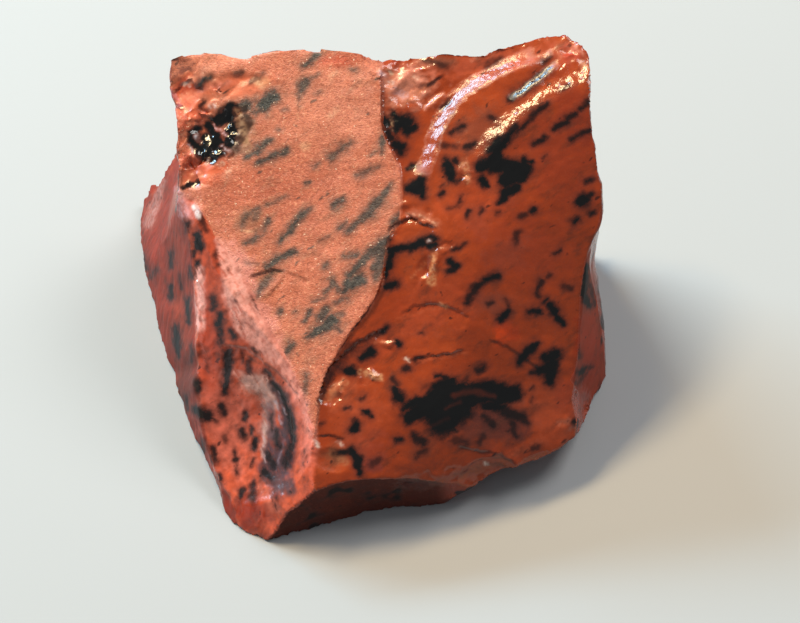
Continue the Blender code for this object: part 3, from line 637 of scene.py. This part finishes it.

# The lump: its reds
# The stone runs from salmon on the matt split to brick red on the lobe, with orange chips, pinkish
# bruises along the left edge that are partly a painted sheen, and grey-purple clouds. Some marks are
# painted shade, shadow, glints and highlights. Colours are the usual 0 to 255 ones.
SPLIT_RED = (206, 116, 86)
LOBE_RED = (166, 64, 22)
LEFT_RED = (206, 86, 54)
FAR_LEFT_RED = (150, 36, 4)
OTHER_RED = (132, 46, 20)
# Painted shade: the face under the front edge is given a near-black red.
UNDER_FRONT_SHADE_RED = (66, 16, 3)

# Soft clouds of another colour, a few of them painted shadow, painted light and painted sheen:
# middle, half length, half width, turn, colour, how strong
CLOUDS_AND_PAINTED_LIGHT = [
    (330, 110, 60, 50, 20, (222, 140, 112), 0.45), (300, 190, 50, 28, 35, (196, 104, 76), 0.6),
    (355, 110, 26, 34, 0, (216, 132, 106), 0.4), (305, 146, 6, 6, 0, (236, 170, 132), 0.8),
    (290, 340, 26, 40, -60, (208, 122, 92), 0.5), (247, 190, 40, 22, 20, (192, 94, 64), 0.6),
    (248, 218, 16, 14, 40, (150, 105, 75), 0.55), (245, 130, 12, 22, 0, (150, 118, 92), 0.6),
    (338, 60, 26, 7, 3, (196, 78, 44), 0.8), (320, 205, 60, 20, 45, (208, 118, 92), 0.4),
    (200, 66, 42, 11, 2, (238, 146, 116), 0.95), (200, 150, 30, 30, 0, (206, 84, 48), 0.75),
    # (186, 84) and (198, 88): painted shadow in the hollows of the crushed corner
    (190, 110, 20, 20, 0, (204, 82, 50), 0.7), (186, 84, 16, 9, 30, (178, 50, 20), 0.75),
    (198, 88, 10, 5, 10, (140, 36, 14), 0.8), (238, 84, 34, 14, 10, (222, 106, 70), 0.5),
    (192, 172, 12, 16, 20, (150, 40, 16), 0.6), (214, 172, 18, 10, 30, (212, 96, 60), 0.7),
    (255, 285, 12, 14, 60, (168, 96, 66), 0.7), (262, 82, 8, 6, 0, (226, 160, 116), 0.6),
    # (500, 60): painted light, the lobe's top band lighter where it tilts back toward the lamps
    (407, 84, 30, 24, 10, (236, 156, 132), 0.8), (500, 60, 90, 14, 8, (204, 96, 66), 0.6),
    # (478, 130): painted sheen, a greyer brown between the highlight arcs
    (395, 62, 16, 6, 0, (190, 70, 36), 0.7), (478, 130, 36, 22, 40, (118, 62, 44), 0.6),
    (478, 205, 48, 30, 0, (190, 76, 38), 0.55), (425, 218, 18, 6, -20, (214, 130, 100), 0.3),
    (560, 160, 40, 60, 20, (150, 56, 30), 0.6), (575, 110, 20, 40, 20, (140, 48, 24), 0.6),
    (440, 300, 44, 30, 0, (182, 72, 38), 0.5), (530, 250, 50, 40, 0, (156, 60, 34), 0.5),
    (502, 332, 8, 15, -10, (206, 70, 18), 1.0), (512, 333, 9, 8, 0, (190, 62, 22), 0.6),
    (494, 305, 19, 17, 0, (130, 66, 50), 0.65), (478, 222, 14, 18, 0, (140, 62, 46), 0.4),
    (505, 255, 26, 18, 30, (150, 72, 54), 0.4), (500, 425, 36, 22, 20, (112, 60, 50), 0.75),
    (470, 432, 26, 12, 25, (132, 62, 44), 0.6), (420, 450, 20, 12, 20, (140, 66, 42), 0.5),
    (365, 450, 24, 24, 0, (152, 62, 44), 0.6), (372, 465, 10, 8, 0, (140, 62, 60), 0.5),
    (336, 455, 14, 11, 10, (146, 88, 60), 0.6), (358, 420, 30, 34, 0, (190, 82, 48), 0.5),
    (550, 412, 40, 28, -40, (196, 86, 50), 0.6), (400, 335, 60, 16, 20, (188, 78, 44), 0.4),
    (568, 395, 14, 22, 0, (172, 68, 42), 0.5), (572, 52, 22, 14, 0, (196, 84, 58), 0.7),
    (570, 54, 9, 6, 0, (170, 48, 30), 0.6), (443, 62, 16, 6, 0, (150, 100, 76), 0.5),
    # (342, 390): painted light on the ridge beside the lobe's groove
    (342, 390, 20, 14, 50, (196, 96, 62), 0.5), (500, 455, 40, 10, 12, (158, 62, 36), 0.4),
    (587, 290, 9, 30, 0, (120, 48, 20), 0.7), (588, 350, 14, 44, 0, (146, 42, 12), 0.8),
    # The pink and pale clouds from here to (265, 428) are partly the left face's colour and partly a painted
    # sheen
    (242, 265, 12, 34, 32, (232, 148, 134), 0.85), (262, 320, 14, 40, 28, (230, 144, 130), 0.85),
    (292, 385, 10, 40, 25, (226, 128, 112), 0.8), (308, 440, 9, 34, 5, (220, 118, 100), 0.7),
    (232, 290, 16, 26, 15, (222, 128, 112), 0.6), (186, 207, 9, 16, 10, (226, 142, 134), 0.85),
    (200, 296, 6, 26, 0, (236, 140, 128), 0.85), (208, 350, 14, 60, 5, (192, 66, 40), 0.6),
    (212, 270, 14, 22, 5, (198, 78, 48), 0.7), (256, 385, 18, 14, -25, (214, 146, 128), 0.8),
    (268, 400, 8, 16, 30, (196, 140, 126), 0.6), (265, 428, 7, 24, -5, (186, 132, 122), 0.55),
    (280, 484, 16, 18, 0, (76, 54, 58), 0.9), (228, 425, 30, 56, 10, (236, 126, 106), 0.7),
    (214, 475, 10, 20, 30, (214, 104, 86), 0.6), (250, 512, 24, 24, 0, (150, 40, 12), 0.95),
    # (156, 200) and (150, 220): painted highlight at the top corner of the far left face
    (265, 500, 8, 14, 30, (196, 76, 44), 0.8), (156, 200, 7, 22, -25, (180, 100, 84), 0.6),
    (150, 220, 7, 14, -20, (176, 96, 80), 0.5), (178, 250, 12, 60, 0, (150, 58, 36), 0.4),
    (180, 320, 12, 40, 0, (160, 60, 30), 0.5), (184, 385, 12, 50, -12, (84, 30, 16), 0.7),
]


# Bruises, lips, crushed threads and purple-grey streaks, mostly paler than the stone, with painted glints
# and highlights on chips, ridges and lips, a painted sheen on the left face and a painted shadow in a
# groove: from, to, half widths, colour, how strong
VEILS_AND_PAINTED_LIGHT = [
    (188, 82, 215, 66, 3, 3, (240, 160, 130), 0.7), (205, 88, 225, 85, 3, 4, (226, 130, 110), 0.6),
    # Painted glints on the glassy black, from here to (226, 172)
    (211, 106, 214, 106, 3, 3, (255, 245, 240), 0.6), (196, 137, 200, 141, 3, 2, (215, 222, 235), 0.9),
    (212, 124, 226, 134, 1.5, 2, (225, 190, 200), 0.8), (183, 84, 187, 84, 2, 2, (255, 250, 245), 0.8),
    (190, 146, 196, 154, 2, 2, (150, 165, 185), 0.8),
    (222, 146, 230, 152, 2, 1.5, (215, 215, 225), 0.8),
    (206, 162, 209, 158, 1.5, 1.5, (240, 230, 220), 0.8),
    (220, 166, 223, 163, 1.5, 1.5, (245, 215, 190), 0.8),
    (226, 172, 230, 169, 2, 2, (245, 200, 170), 0.7), (238, 112, 248, 150, 5, 4, (190, 160, 120), 0.55),
    (254, 80, 262, 86, 3, 3, (236, 190, 150), 0.8), (171, 92, 177, 104, 3, 4, (205, 120, 140), 0.6),
    (175, 75, 185, 70, 3, 3, (236, 150, 122), 0.6), (178, 190, 184, 214, 4, 5, (228, 165, 170), 0.8),
    # (195, 206) is a painted glint; (199, 270) is a pale hackly ridge with a painted highlight
    (195, 206, 199, 216, 2.5, 3, (245, 235, 235), 0.9), (199, 270, 201, 328, 5, 4.5, (252, 178, 166), 0.95),
    # The pink band from (217, 240) to (314, 440) is partly the left face's colour and partly a painted sheen
    (199, 312, 203, 352, 1.5, 1.5, (230, 120, 105), 0.7), (217, 240, 229, 264, 3, 8, (252, 172, 158), 0.95),
    (229, 264, 237, 295, 9, 12, (252, 176, 162), 0.95), (237, 295, 250, 325, 13, 14, (252, 176, 162), 0.95),
    (250, 325, 266, 346, 14, 10, (252, 168, 152), 0.9), (262, 342, 284, 366, 9, 7, (252, 168, 152), 0.95),
    (284, 366, 303, 402, 7, 5, (248, 158, 140), 0.95),
    (303, 402, 314, 440, 5, 4, (244, 148, 130), 0.9),
    (222, 345, 246, 349, 1.5, 1.5, (236, 140, 122), 0.8),
    (246, 349, 264, 361, 1.5, 1.5, (236, 140, 122), 0.8),
    # The pale cap and streaks down to (263, 456) are partly a painted sheen
    (234, 372, 246, 380, 3, 5, (240, 160, 146), 0.9), (248, 382, 262, 384, 8, 10, (226, 172, 160), 0.95),
    (264, 388, 275, 406, 8, 4, (216, 170, 160), 0.95),
    (266, 398, 264, 430, 4, 4, (190, 150, 146), 0.7), (265, 424, 263, 456, 2.5, 2, (222, 180, 172), 0.8),
    # The crescent is purple-grey rather than black, partly a painted sheen on the black
    (272, 384, 282, 398, 4, 6, (70, 58, 66), 0.95), (282, 398, 290, 425, 7, 8, (66, 56, 66), 0.95),
    (290, 425, 286, 458, 9, 10, (60, 50, 60), 0.95), (276, 436, 272, 462, 9, 10, (66, 56, 66), 0.95),
    (264, 468, 284, 470, 7, 8, (74, 60, 68), 0.9), (270, 404, 272, 434, 4, 6, (104, 86, 94), 0.7),
    (277, 392, 286, 414, 0.9, 0.9, (196, 178, 190), 0.7),
    (275, 402, 281, 424, 0.9, 0.9, (180, 160, 172), 0.7),
    (262, 432, 266, 462, 1.2, 1.2, (206, 176, 180), 0.8),
    (284, 440, 276, 470, 1.0, 1.0, (150, 132, 146), 0.6),
    (298, 402, 303, 470, 3, 4, (216, 98, 74), 0.6), (266, 478, 290, 490, 7, 7, (72, 54, 58), 0.9),
    (480, 416, 520, 430, 11, 12, (92, 44, 38), 0.75), (466, 428, 500, 436, 6, 5, (104, 50, 40), 0.6),
    # (163, 182): painted highlight at the top corner of the far left face
    (262, 488, 275, 508, 5, 6, (216, 112, 88), 0.7), (163, 182, 148, 224, 3, 5, (196, 136, 126), 0.7),
    # (316, 442) and (338, 442): painted glints
    (316, 442, 318, 447, 2, 2, (255, 240, 235), 0.8), (338, 442, 342, 444, 2, 2, (240, 220, 210), 0.7),
    # (408, 213) and (420, 216): painted highlight on the lip above the notch crack
    (408, 213, 420, 216, 1.5, 2, (236, 160, 128), 0.7), (420, 216, 437, 224, 2, 1.5, (240, 172, 138), 0.7),
    # Painted glints and highlights on chips of the lobe, from here to (360, 372)
    (434, 250, 431, 283, 2.5, 4.0, (250, 184, 128), 0.5),
    (412, 278, 425, 262, 1.5, 1.5, (226, 140, 95), 0.3),
    (464, 163, 468, 182, 4, 3, (240, 170, 125), 0.5), (428, 240, 432, 240, 2, 1.5, (245, 235, 230), 0.8),
    (440, 303, 447, 307, 1.5, 1.5, (250, 190, 140), 0.5),
    (360, 372, 380, 377, 3.0, 4.0, (250, 190, 140), 0.6),
    (375, 343, 395, 341, 1.2, 1.2, (240, 150, 110), 0.6),
    # (325, 398) is a painted sheen on the ridges, (405, 358) and (484, 463) are painted glints
    (325, 398, 345, 383, 5, 4, (230, 150, 108), 0.6), (405, 358, 409, 361, 1.5, 1.5, (255, 230, 210), 0.7),
    (560, 424, 570, 420, 3, 3, (225, 140, 110), 0.4), (484, 463, 487, 464, 1.5, 1.5, (250, 235, 225), 0.8),
    (582, 62, 586, 68, 3, 3, (245, 190, 150), 0.7), (380, 72, 384, 75, 3, 3, (226, 196, 202), 0.7),
    # (389, 70), (390, 81) and (392, 117) are painted glints on the lobe's crushed top
    (389, 70, 392, 74, 2, 2, (250, 220, 190), 0.8), (390, 81, 392, 83, 2, 2, (250, 245, 245), 0.5),
    (395, 90, 406, 95, 4, 4, (216, 176, 186), 0.65), (413, 76, 417, 78, 2, 2, (245, 200, 175), 0.7),
    (400, 106, 425, 86, 1.5, 1.5, (240, 150, 115), 0.7),
    (392, 117, 393, 129, 1.5, 1.5, (240, 222, 182), 0.75),
    (328, 118, 338, 108, 3, 3, (242, 180, 145), 0.6), (330, 76, 336, 73, 2.5, 2.5, (240, 175, 140), 0.6),
    (242, 230, 252, 232, 1.5, 1.5, (240, 190, 150), 0.6), (472, 60, 480, 56, 2, 2, (232, 150, 122), 0.6),
    (560, 52, 575, 46, 2, 2, (238, 150, 120), 0.7), (575, 46, 586, 56, 2, 2, (236, 150, 125), 0.7),
    (505, 458, 540, 440, 4, 5, (196, 92, 58), 0.5), (330, 452, 345, 462, 4, 4, (176, 124, 86), 0.4),
    # Painted shadow in the lobe's groove, from here to (384, 331); (398, 318) and (405, 364) are painted
    # highlights along small steps
    (320, 402, 330, 376, 4, 6, (80, 28, 12), 0.95), (330, 376, 352, 349, 6, 6, (80, 28, 12), 0.95),
    (352, 349, 384, 331, 6, 3, (90, 34, 16), 0.9), (398, 318, 440, 307, 1.5, 1.5, (196, 90, 54), 0.6),
    (405, 364, 465, 353, 1.5, 2, (206, 98, 60), 0.6), (392, 372, 396, 396, 2, 2, (116, 48, 30), 0.4),
    (404, 330, 470, 334, 8, 6, (130, 54, 32), 0.35), (440, 480, 480, 468, 4, 4, (116, 52, 34), 0.5),
    (478, 452, 515, 462, 1.5, 1.5, (92, 36, 22), 0.7), (486, 464, 510, 468, 1.2, 1.2, (92, 36, 22), 0.6),
    (400, 470, 440, 462, 5, 4, (130, 56, 36), 0.5), (520, 300, 560, 330, 8, 8, (150, 66, 42), 0.3),
]


def usual_colour(colour):
    """A 0 to 255 screen colour as the plain amounts of light that a shader takes."""
    part = np.array(colour, float) / 255.0
    return np.where(part <= 0.04045, part / 12.92, ((part + 0.055) / 1.055) ** 2.4)


reds = np.tile(usual_colour(OTHER_RED), (count, 1)) * (1.0 + 0.4 * waves(5.0, 25, octaves=3))[:, None]
for region, colour in ((on_far_left, FAR_LEFT_RED), (on_left, LEFT_RED), (on_lobe, LOBE_RED),
                       (on_split, SPLIT_RED)):
    reds = blend_in(reds, usual_colour(colour), region[:, None])
uneven = waves(1.0, 24, octaves=3)
for x, y, half_long, half_wide, turn, colour, strong in CLOUDS_AND_PAINTED_LIGHT:
    out = in_oval(warped, x, y, half_long, half_wide, turn) + 0.45 * uneven
    share = strong * front * (1.0 - rise(out, 0.3, 1.3))
    reds = blend_in(reds, usual_colour(colour), share[:, None])
threads = rise(waves(0.35, 23, octaves=3), -0.3, 0.15)
feathers = np.column_stack((warped @ (0.47, 0.88) / 16.0, warped @ (0.88, -0.47) / 2.6, np.zeros(count)))
feathers = rise(np.array([noise.fractal(Vector(p), 0.6, 2.1, 2) for p in feathers]), -0.5, 0.1)
threads = np.where(on_left > 0.5, feathers, threads)
cover = np.zeros(count)
for *stroke, colour, strong in VEILS_AND_PAINTED_LIGHT:
    inside = inked(warped, [(*stroke, strong)])[0]
    solid = 0.25 if colour[0] > 120 else 0.65
    share = strong * front * rise(inside, -0.5, 0.6) * (solid + (1.0 - solid) * threads)
    reds = blend_in(reds, usual_colour(colour), share[:, None])
    if colour[0] > 160:
        cover = np.maximum(cover, share)
reds *= (1.0 + 0.3 * streaks * np.clip(on_left + on_far_left, 0.0, 1.0))[:, None]
# Painted shade: darker along the hairline steps, a dark crack with the shade of the step painted in.
reds *= (1.0 - 0.75 * crack_and_step_shade)[:, None]
# Painted shade: the lobe, the far left face and, a little, the left face are darkened as a whole.
for region, shade in ((on_lobe, 0.2), (on_far_left, 0.3), (on_left, 0.05)):
    reds *= (1.0 - shade * region)[:, None]
# Painted shade: the face under the front edge takes the near-black red.
reds = blend_in(reds, usual_colour(UNDER_FRONT_SHADE_RED), under_front[:, None])


def keep(name, values):
    """Store one number for each vertex, for the stone's material."""
    layer = stone.data.attributes.new(name, "FLOAT", "POINT")
    layer.data.foreach_set("value", values.astype(np.float32))


keep("ink", ink - 0.5 * (1.0 - strength))
keep("ink_strength", (0.55 + 0.45 * strength) * (1.0 - cover))
crushed = np.zeros(count)
for x, y, half_long, half_wide, turn, size, steepness, depth in CRUSHED:
    here = 1.0 - rise(in_oval(warped, x, y, half_long, half_wide, turn) + 0.3 * small_waves, 0.6, 1.1)
    crushed = np.maximum(crushed, here * front)
matt = on_split * (1.0 - glassy) * (1.0 - 0.75 * crushed)
keep("matt", matt)
keep("grit", np.maximum(matt, 0.22 + 0.35 * flank))

# How rough each break is to the light, from 0 for a mirror to 1 for chalk
polish = np.full(count, 0.24)
sliver = front * rise(-left_of_sliver, -1.0, 1.0) * (1.0 - on_lobe) * (1.0 - on_left) * (1.0 - on_far_left)
for region, rough in ((sliver, 0.85), (on_far_left, 0.85), (on_left, 0.26), (on_lobe, 0.15),
                      (flank, flank_polish), (on_split, 0.55), (under_front, 0.95)):
    polish = blend_in(polish, rough, region)
polish = polish + 0.35 * shoulder
polish = blend_in(polish, 0.28, 0.8 * crushed)
keep("polish", blend_in(polish, 0.14, glassy))
layer = stone.data.color_attributes.new("reds", "FLOAT_COLOR", "POINT")
layer.data.foreach_set("color", np.column_stack((reds, np.ones(count))).astype(np.float32).ravel())
SHARP_CORNER = math.radians(40.0)
bpy.ops.object.shade_smooth_by_angle(angle=SHARP_CORNER)

# The lump: its stone
# Fine-grained glassy silica. Grain, specks and the ragged rims of the black are finer than the mesh,
# so they are drawn by noise in the material.


def stone_material():
    """Red stone: glossy, dull and grainy on the split, black where the ink lies."""
    material = bpy.data.materials.new("red_jasper_stone")
    material.use_nodes = True
    nodes = material.node_tree.nodes
    links = material.node_tree.links
    shader = nodes["Principled BSDF"]

    def join(source, target):
        if isinstance(source, (int, float, tuple)):
            target.default_value = source
        else:
            links.new(source, target)

    def attribute(name, output="Fac"):
        node = nodes.new("ShaderNodeAttribute")
        node.attribute_name = name
        return node.outputs[output]

    def maths(operation, a, b=0.0, clamp=False):
        node = nodes.new("ShaderNodeMath")
        node.operation = operation
        node.use_clamp = clamp
        join(a, node.inputs[0])
        join(b, node.inputs[1])
        return node.outputs[0]

    def spread(value, low, high, to_low=0.0, to_high=1.0):
        node = nodes.new("ShaderNodeMapRange")
        node.interpolation_type = "SMOOTHSTEP"
        join(value, node.inputs["Value"])
        for name, number in (("From Min", low), ("From Max", high), ("To Min", to_low), ("To Max", to_high)):
            join(number, node.inputs[name])
        return node.outputs["Result"]

    def mix(factor, a, b):
        node = nodes.new("ShaderNodeMix")
        node.data_type = "RGBA"
        join(factor, node.inputs["Factor"])
        join(a, node.inputs["A"])
        join(b, node.inputs["B"])
        return node.outputs["Result"]

    coordinates = nodes.new("ShaderNodeTexCoord")

    def grain(size, detail=2.0, stretch=(1.0, 1.0, 1.0), turn=(0.0, 0.0, 0.0), roughness=0.5):
        """Noise of about this size in millimetres."""
        mapping = nodes.new("ShaderNodeMapping")
        mapping.vector_type = "TEXTURE"
        mapping.inputs["Rotation"].default_value = turn
        mapping.inputs["Scale"].default_value = tuple(size * MM * part for part in stretch)
        links.new(coordinates.outputs["Object"], mapping.inputs["Vector"])
        node = nodes.new("ShaderNodeTexNoise")
        node.inputs["Scale"].default_value = 1.0
        node.inputs["Detail"].default_value = detail
        node.inputs["Roughness"].default_value = roughness
        links.new(mapping.outputs["Vector"], node.inputs["Vector"])
        return node.outputs["Fac"]

    matt = attribute("matt")
    ink_field = attribute("ink")
    ink_strong = attribute("ink_strength")
    drawn_out = (LEAN, 0.0, math.radians(42.0))
    rim = grain(0.8, 3.0, (1.6, 0.8, 0.8), drawn_out, 0.55)
    fine = grain(0.16, 3.0, roughness=0.65)
    ragged = maths("ADD", maths("MULTIPLY", maths("SUBTRACT", rim, 0.5), spread(matt, 0.0, 1.0, 1.5, 2.0)),
                   maths("MULTIPLY", maths("SUBTRACT", fine, 0.5), spread(matt, 0.0, 1.0, 0.6, 1.3)))
    field = maths("ADD", ink_field, ragged)
    softness = spread(matt, 0.0, 1.0, 0.7, 0.95)
    black = maths("MULTIPLY", spread(field, -0.7, softness), ink_strong, clamp=True)
    small_specks = grain(0.75, 1.0, (1.8, 0.8, 0.8), drawn_out)
    specks = maths("MULTIPLY", spread(small_specks, 0.7, 0.8), 0.7)
    black = maths("MAXIMUM", black, specks)

    cloudy = grain(2.2, 4.0, roughness=0.6)
    sugar = grain(0.32, 3.0, roughness=0.7)
    red = mix(spread(cloudy, 0.3, 0.7, 0.0, 0.5), attribute("reds", "Color"),
              mix(0.5, attribute("reds", "Color"), (0.16, 0.022, 0.006, 1.0)))
    haze = grain(1.6, 4.0, (2.2, 0.8, 0.8), drawn_out, 0.6)
    red = mix(spread(haze, 0.5, 0.78, 0.0, 0.6), red,
              mix(matt, (0.05, 0.018, 0.010, 1.0), (0.26, 0.12, 0.07, 1.0)))
    dark_grains = maths("MULTIPLY", spread(sugar, 0.5, 0.34), spread(matt, 0.0, 1.0, 0.16, 0.5))
    red = mix(dark_grains, red, (0.25, 0.06, 0.03, 1.0))
    patchy = spread(grain(1.3, 2.0), 0.42, 0.62)
    bright_grains = maths("MULTIPLY", spread(sugar, 0.55, 0.68), spread(matt, 0.0, 1.0, 0.02, 0.34))
    red = mix(bright_grains, red, (0.92, 0.46, 0.27, 1.0))
    halo = maths("MULTIPLY", spread(field, -1.9, 0.0, 0.0, 0.35), ink_strong)
    red = mix(halo, red, mix(matt, (0.045, 0.018, 0.016, 1.0), (0.20, 0.10, 0.065, 1.0)))
    black_colour = mix(matt, (0.003, 0.003, 0.003, 1.0),
                       mix(spread(sugar, 0.35, 0.7), (0.014, 0.014, 0.012, 1.0), (0.064, 0.059, 0.047, 1.0)))
    colour = mix(black, red, black_colour)
    glints = maths("MULTIPLY", spread(grain(0.24, 1.0), 0.70, 0.76), maths("MULTIPLY", matt, patchy))
    colour = mix(glints, colour, (0.95, 0.66, 0.48, 1.0))
    links.new(colour, shader.inputs["Base Color"])

    roughness = maths("ADD", attribute("polish"), maths("MULTIPLY", maths("SUBTRACT", cloudy, 0.5), 0.08))
    links.new(roughness, shader.inputs["Roughness"])
    shader.inputs["IOR"].default_value = 1.5

    bump = nodes.new("ShaderNodeBump")
    bump.inputs["Distance"].default_value = 0.06 * MM
    links.new(attribute("grit"), bump.inputs["Strength"])
    grainy = maths("MULTIPLY", maths("ADD", maths("MULTIPLY", fine, 0.6), sugar), matt)
    pits = maths("MULTIPLY", grain(0.3, 1.0), maths("SUBTRACT", 1.0, matt))
    links.new(maths("ADD", grainy, pits), bump.inputs["Height"])
    links.new(bump.outputs["Normal"], shader.inputs["Normal"])
    return material


stone.data.materials.append(stone_material())
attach(stone, "root")
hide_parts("stone")

# The floor
# A plain pale sheet of paper under the lump, far larger than the view.
FLOOR_SIZE = 3.0
bpy.ops.object.select_all(action="DESELECT")
bpy.ops.mesh.primitive_plane_add(size=FLOOR_SIZE, location=(0.0, 0.0, 0.0))
floor = bpy.context.object
floor.name = "floor"
paper = bpy.data.materials.new("pale_paper")
paper.use_nodes = True
paper.node_tree.nodes["Principled BSDF"].inputs["Base Color"].default_value = (0.36, 0.37, 0.38, 1.0)
paper.node_tree.nodes["Principled BSDF"].inputs["Roughness"].default_value = 0.85
floor.data.materials.append(paper)

# The lights
# Two long soft lamps behind on the left, a warm one and a cool one, a weak low one in front on the
# left, a broad one high on the right, and an even sky.
LAMP_DISTANCE = 0.6
SKY_STRENGTH = 0.24


def long_lamp(name, one_end, other_end, width, watts, colour):
    """A long soft lamp from one direction to another, seen from the lump, which it faces."""
    one_end, other_end = Vector(one_end).normalized(), Vector(other_end).normalized()
    toward = (one_end + other_end).normalized()
    lengthwise = (other_end - one_end).normalized()
    light = bpy.data.lights.new(name, "AREA")
    light.shape = "RECTANGLE"
    light.size = (other_end - one_end).length * LAMP_DISTANCE
    light.size_y = width
    light.energy = watts
    light.color = colour
    lamp = bpy.data.objects.new(name, light)
    bpy.context.scene.collection.objects.link(lamp)
    lamp.location = Vector(MIDDLE * MM) + toward * LAMP_DISTANCE
    lamp.rotation_euler = Matrix((lengthwise, toward.cross(lengthwise), toward)).transposed().to_euler()


long_lamp("warm_lamp", (-0.50, 0.28, 0.82), (-0.19, 0.60, 0.78), 0.095, 4.4, (1.0, 0.76, 0.44))
long_lamp("cool_lamp", (-0.86, 0.35, 0.37), (-0.30, 0.80, 0.52), 0.09, 6.2, (0.46, 0.78, 1.0))
long_lamp("low_lamp", (-0.60, -0.72, 0.22), (-0.95, -0.20, 0.30), 0.2, 0.18, (1.0, 0.95, 0.95))
long_lamp("right_lamp", (0.62, 0.28, 0.73), (0.28, 0.42, 0.86), 0.3, 2.1, (1.0, 0.98, 0.95))
world = bpy.data.worlds.new("even_sky")
world.use_nodes = True
world.node_tree.nodes["Background"].inputs["Color"].default_value = (0.9, 0.95, 1.0, 1.0)
world.node_tree.nodes["Background"].inputs["Strength"].default_value = SKY_STRENGTH
bpy.context.scene.world = world
bpy.context.scene.view_settings.view_transform = "Standard"

# The camera
# It looks square at the broad break from 32 cm away.
lens = bpy.data.cameras.new("camera")
lens.lens = 144.0
lens.sensor_width = 36.0
lens.clip_start = 0.01
camera = bpy.data.objects.new("camera", lens)
bpy.context.scene.collection.objects.link(camera)
camera.location = Vector(EYE * MM)
camera.rotation_euler = (LEAN, 0.0, 0.0)
bpy.context.scene.camera = camera
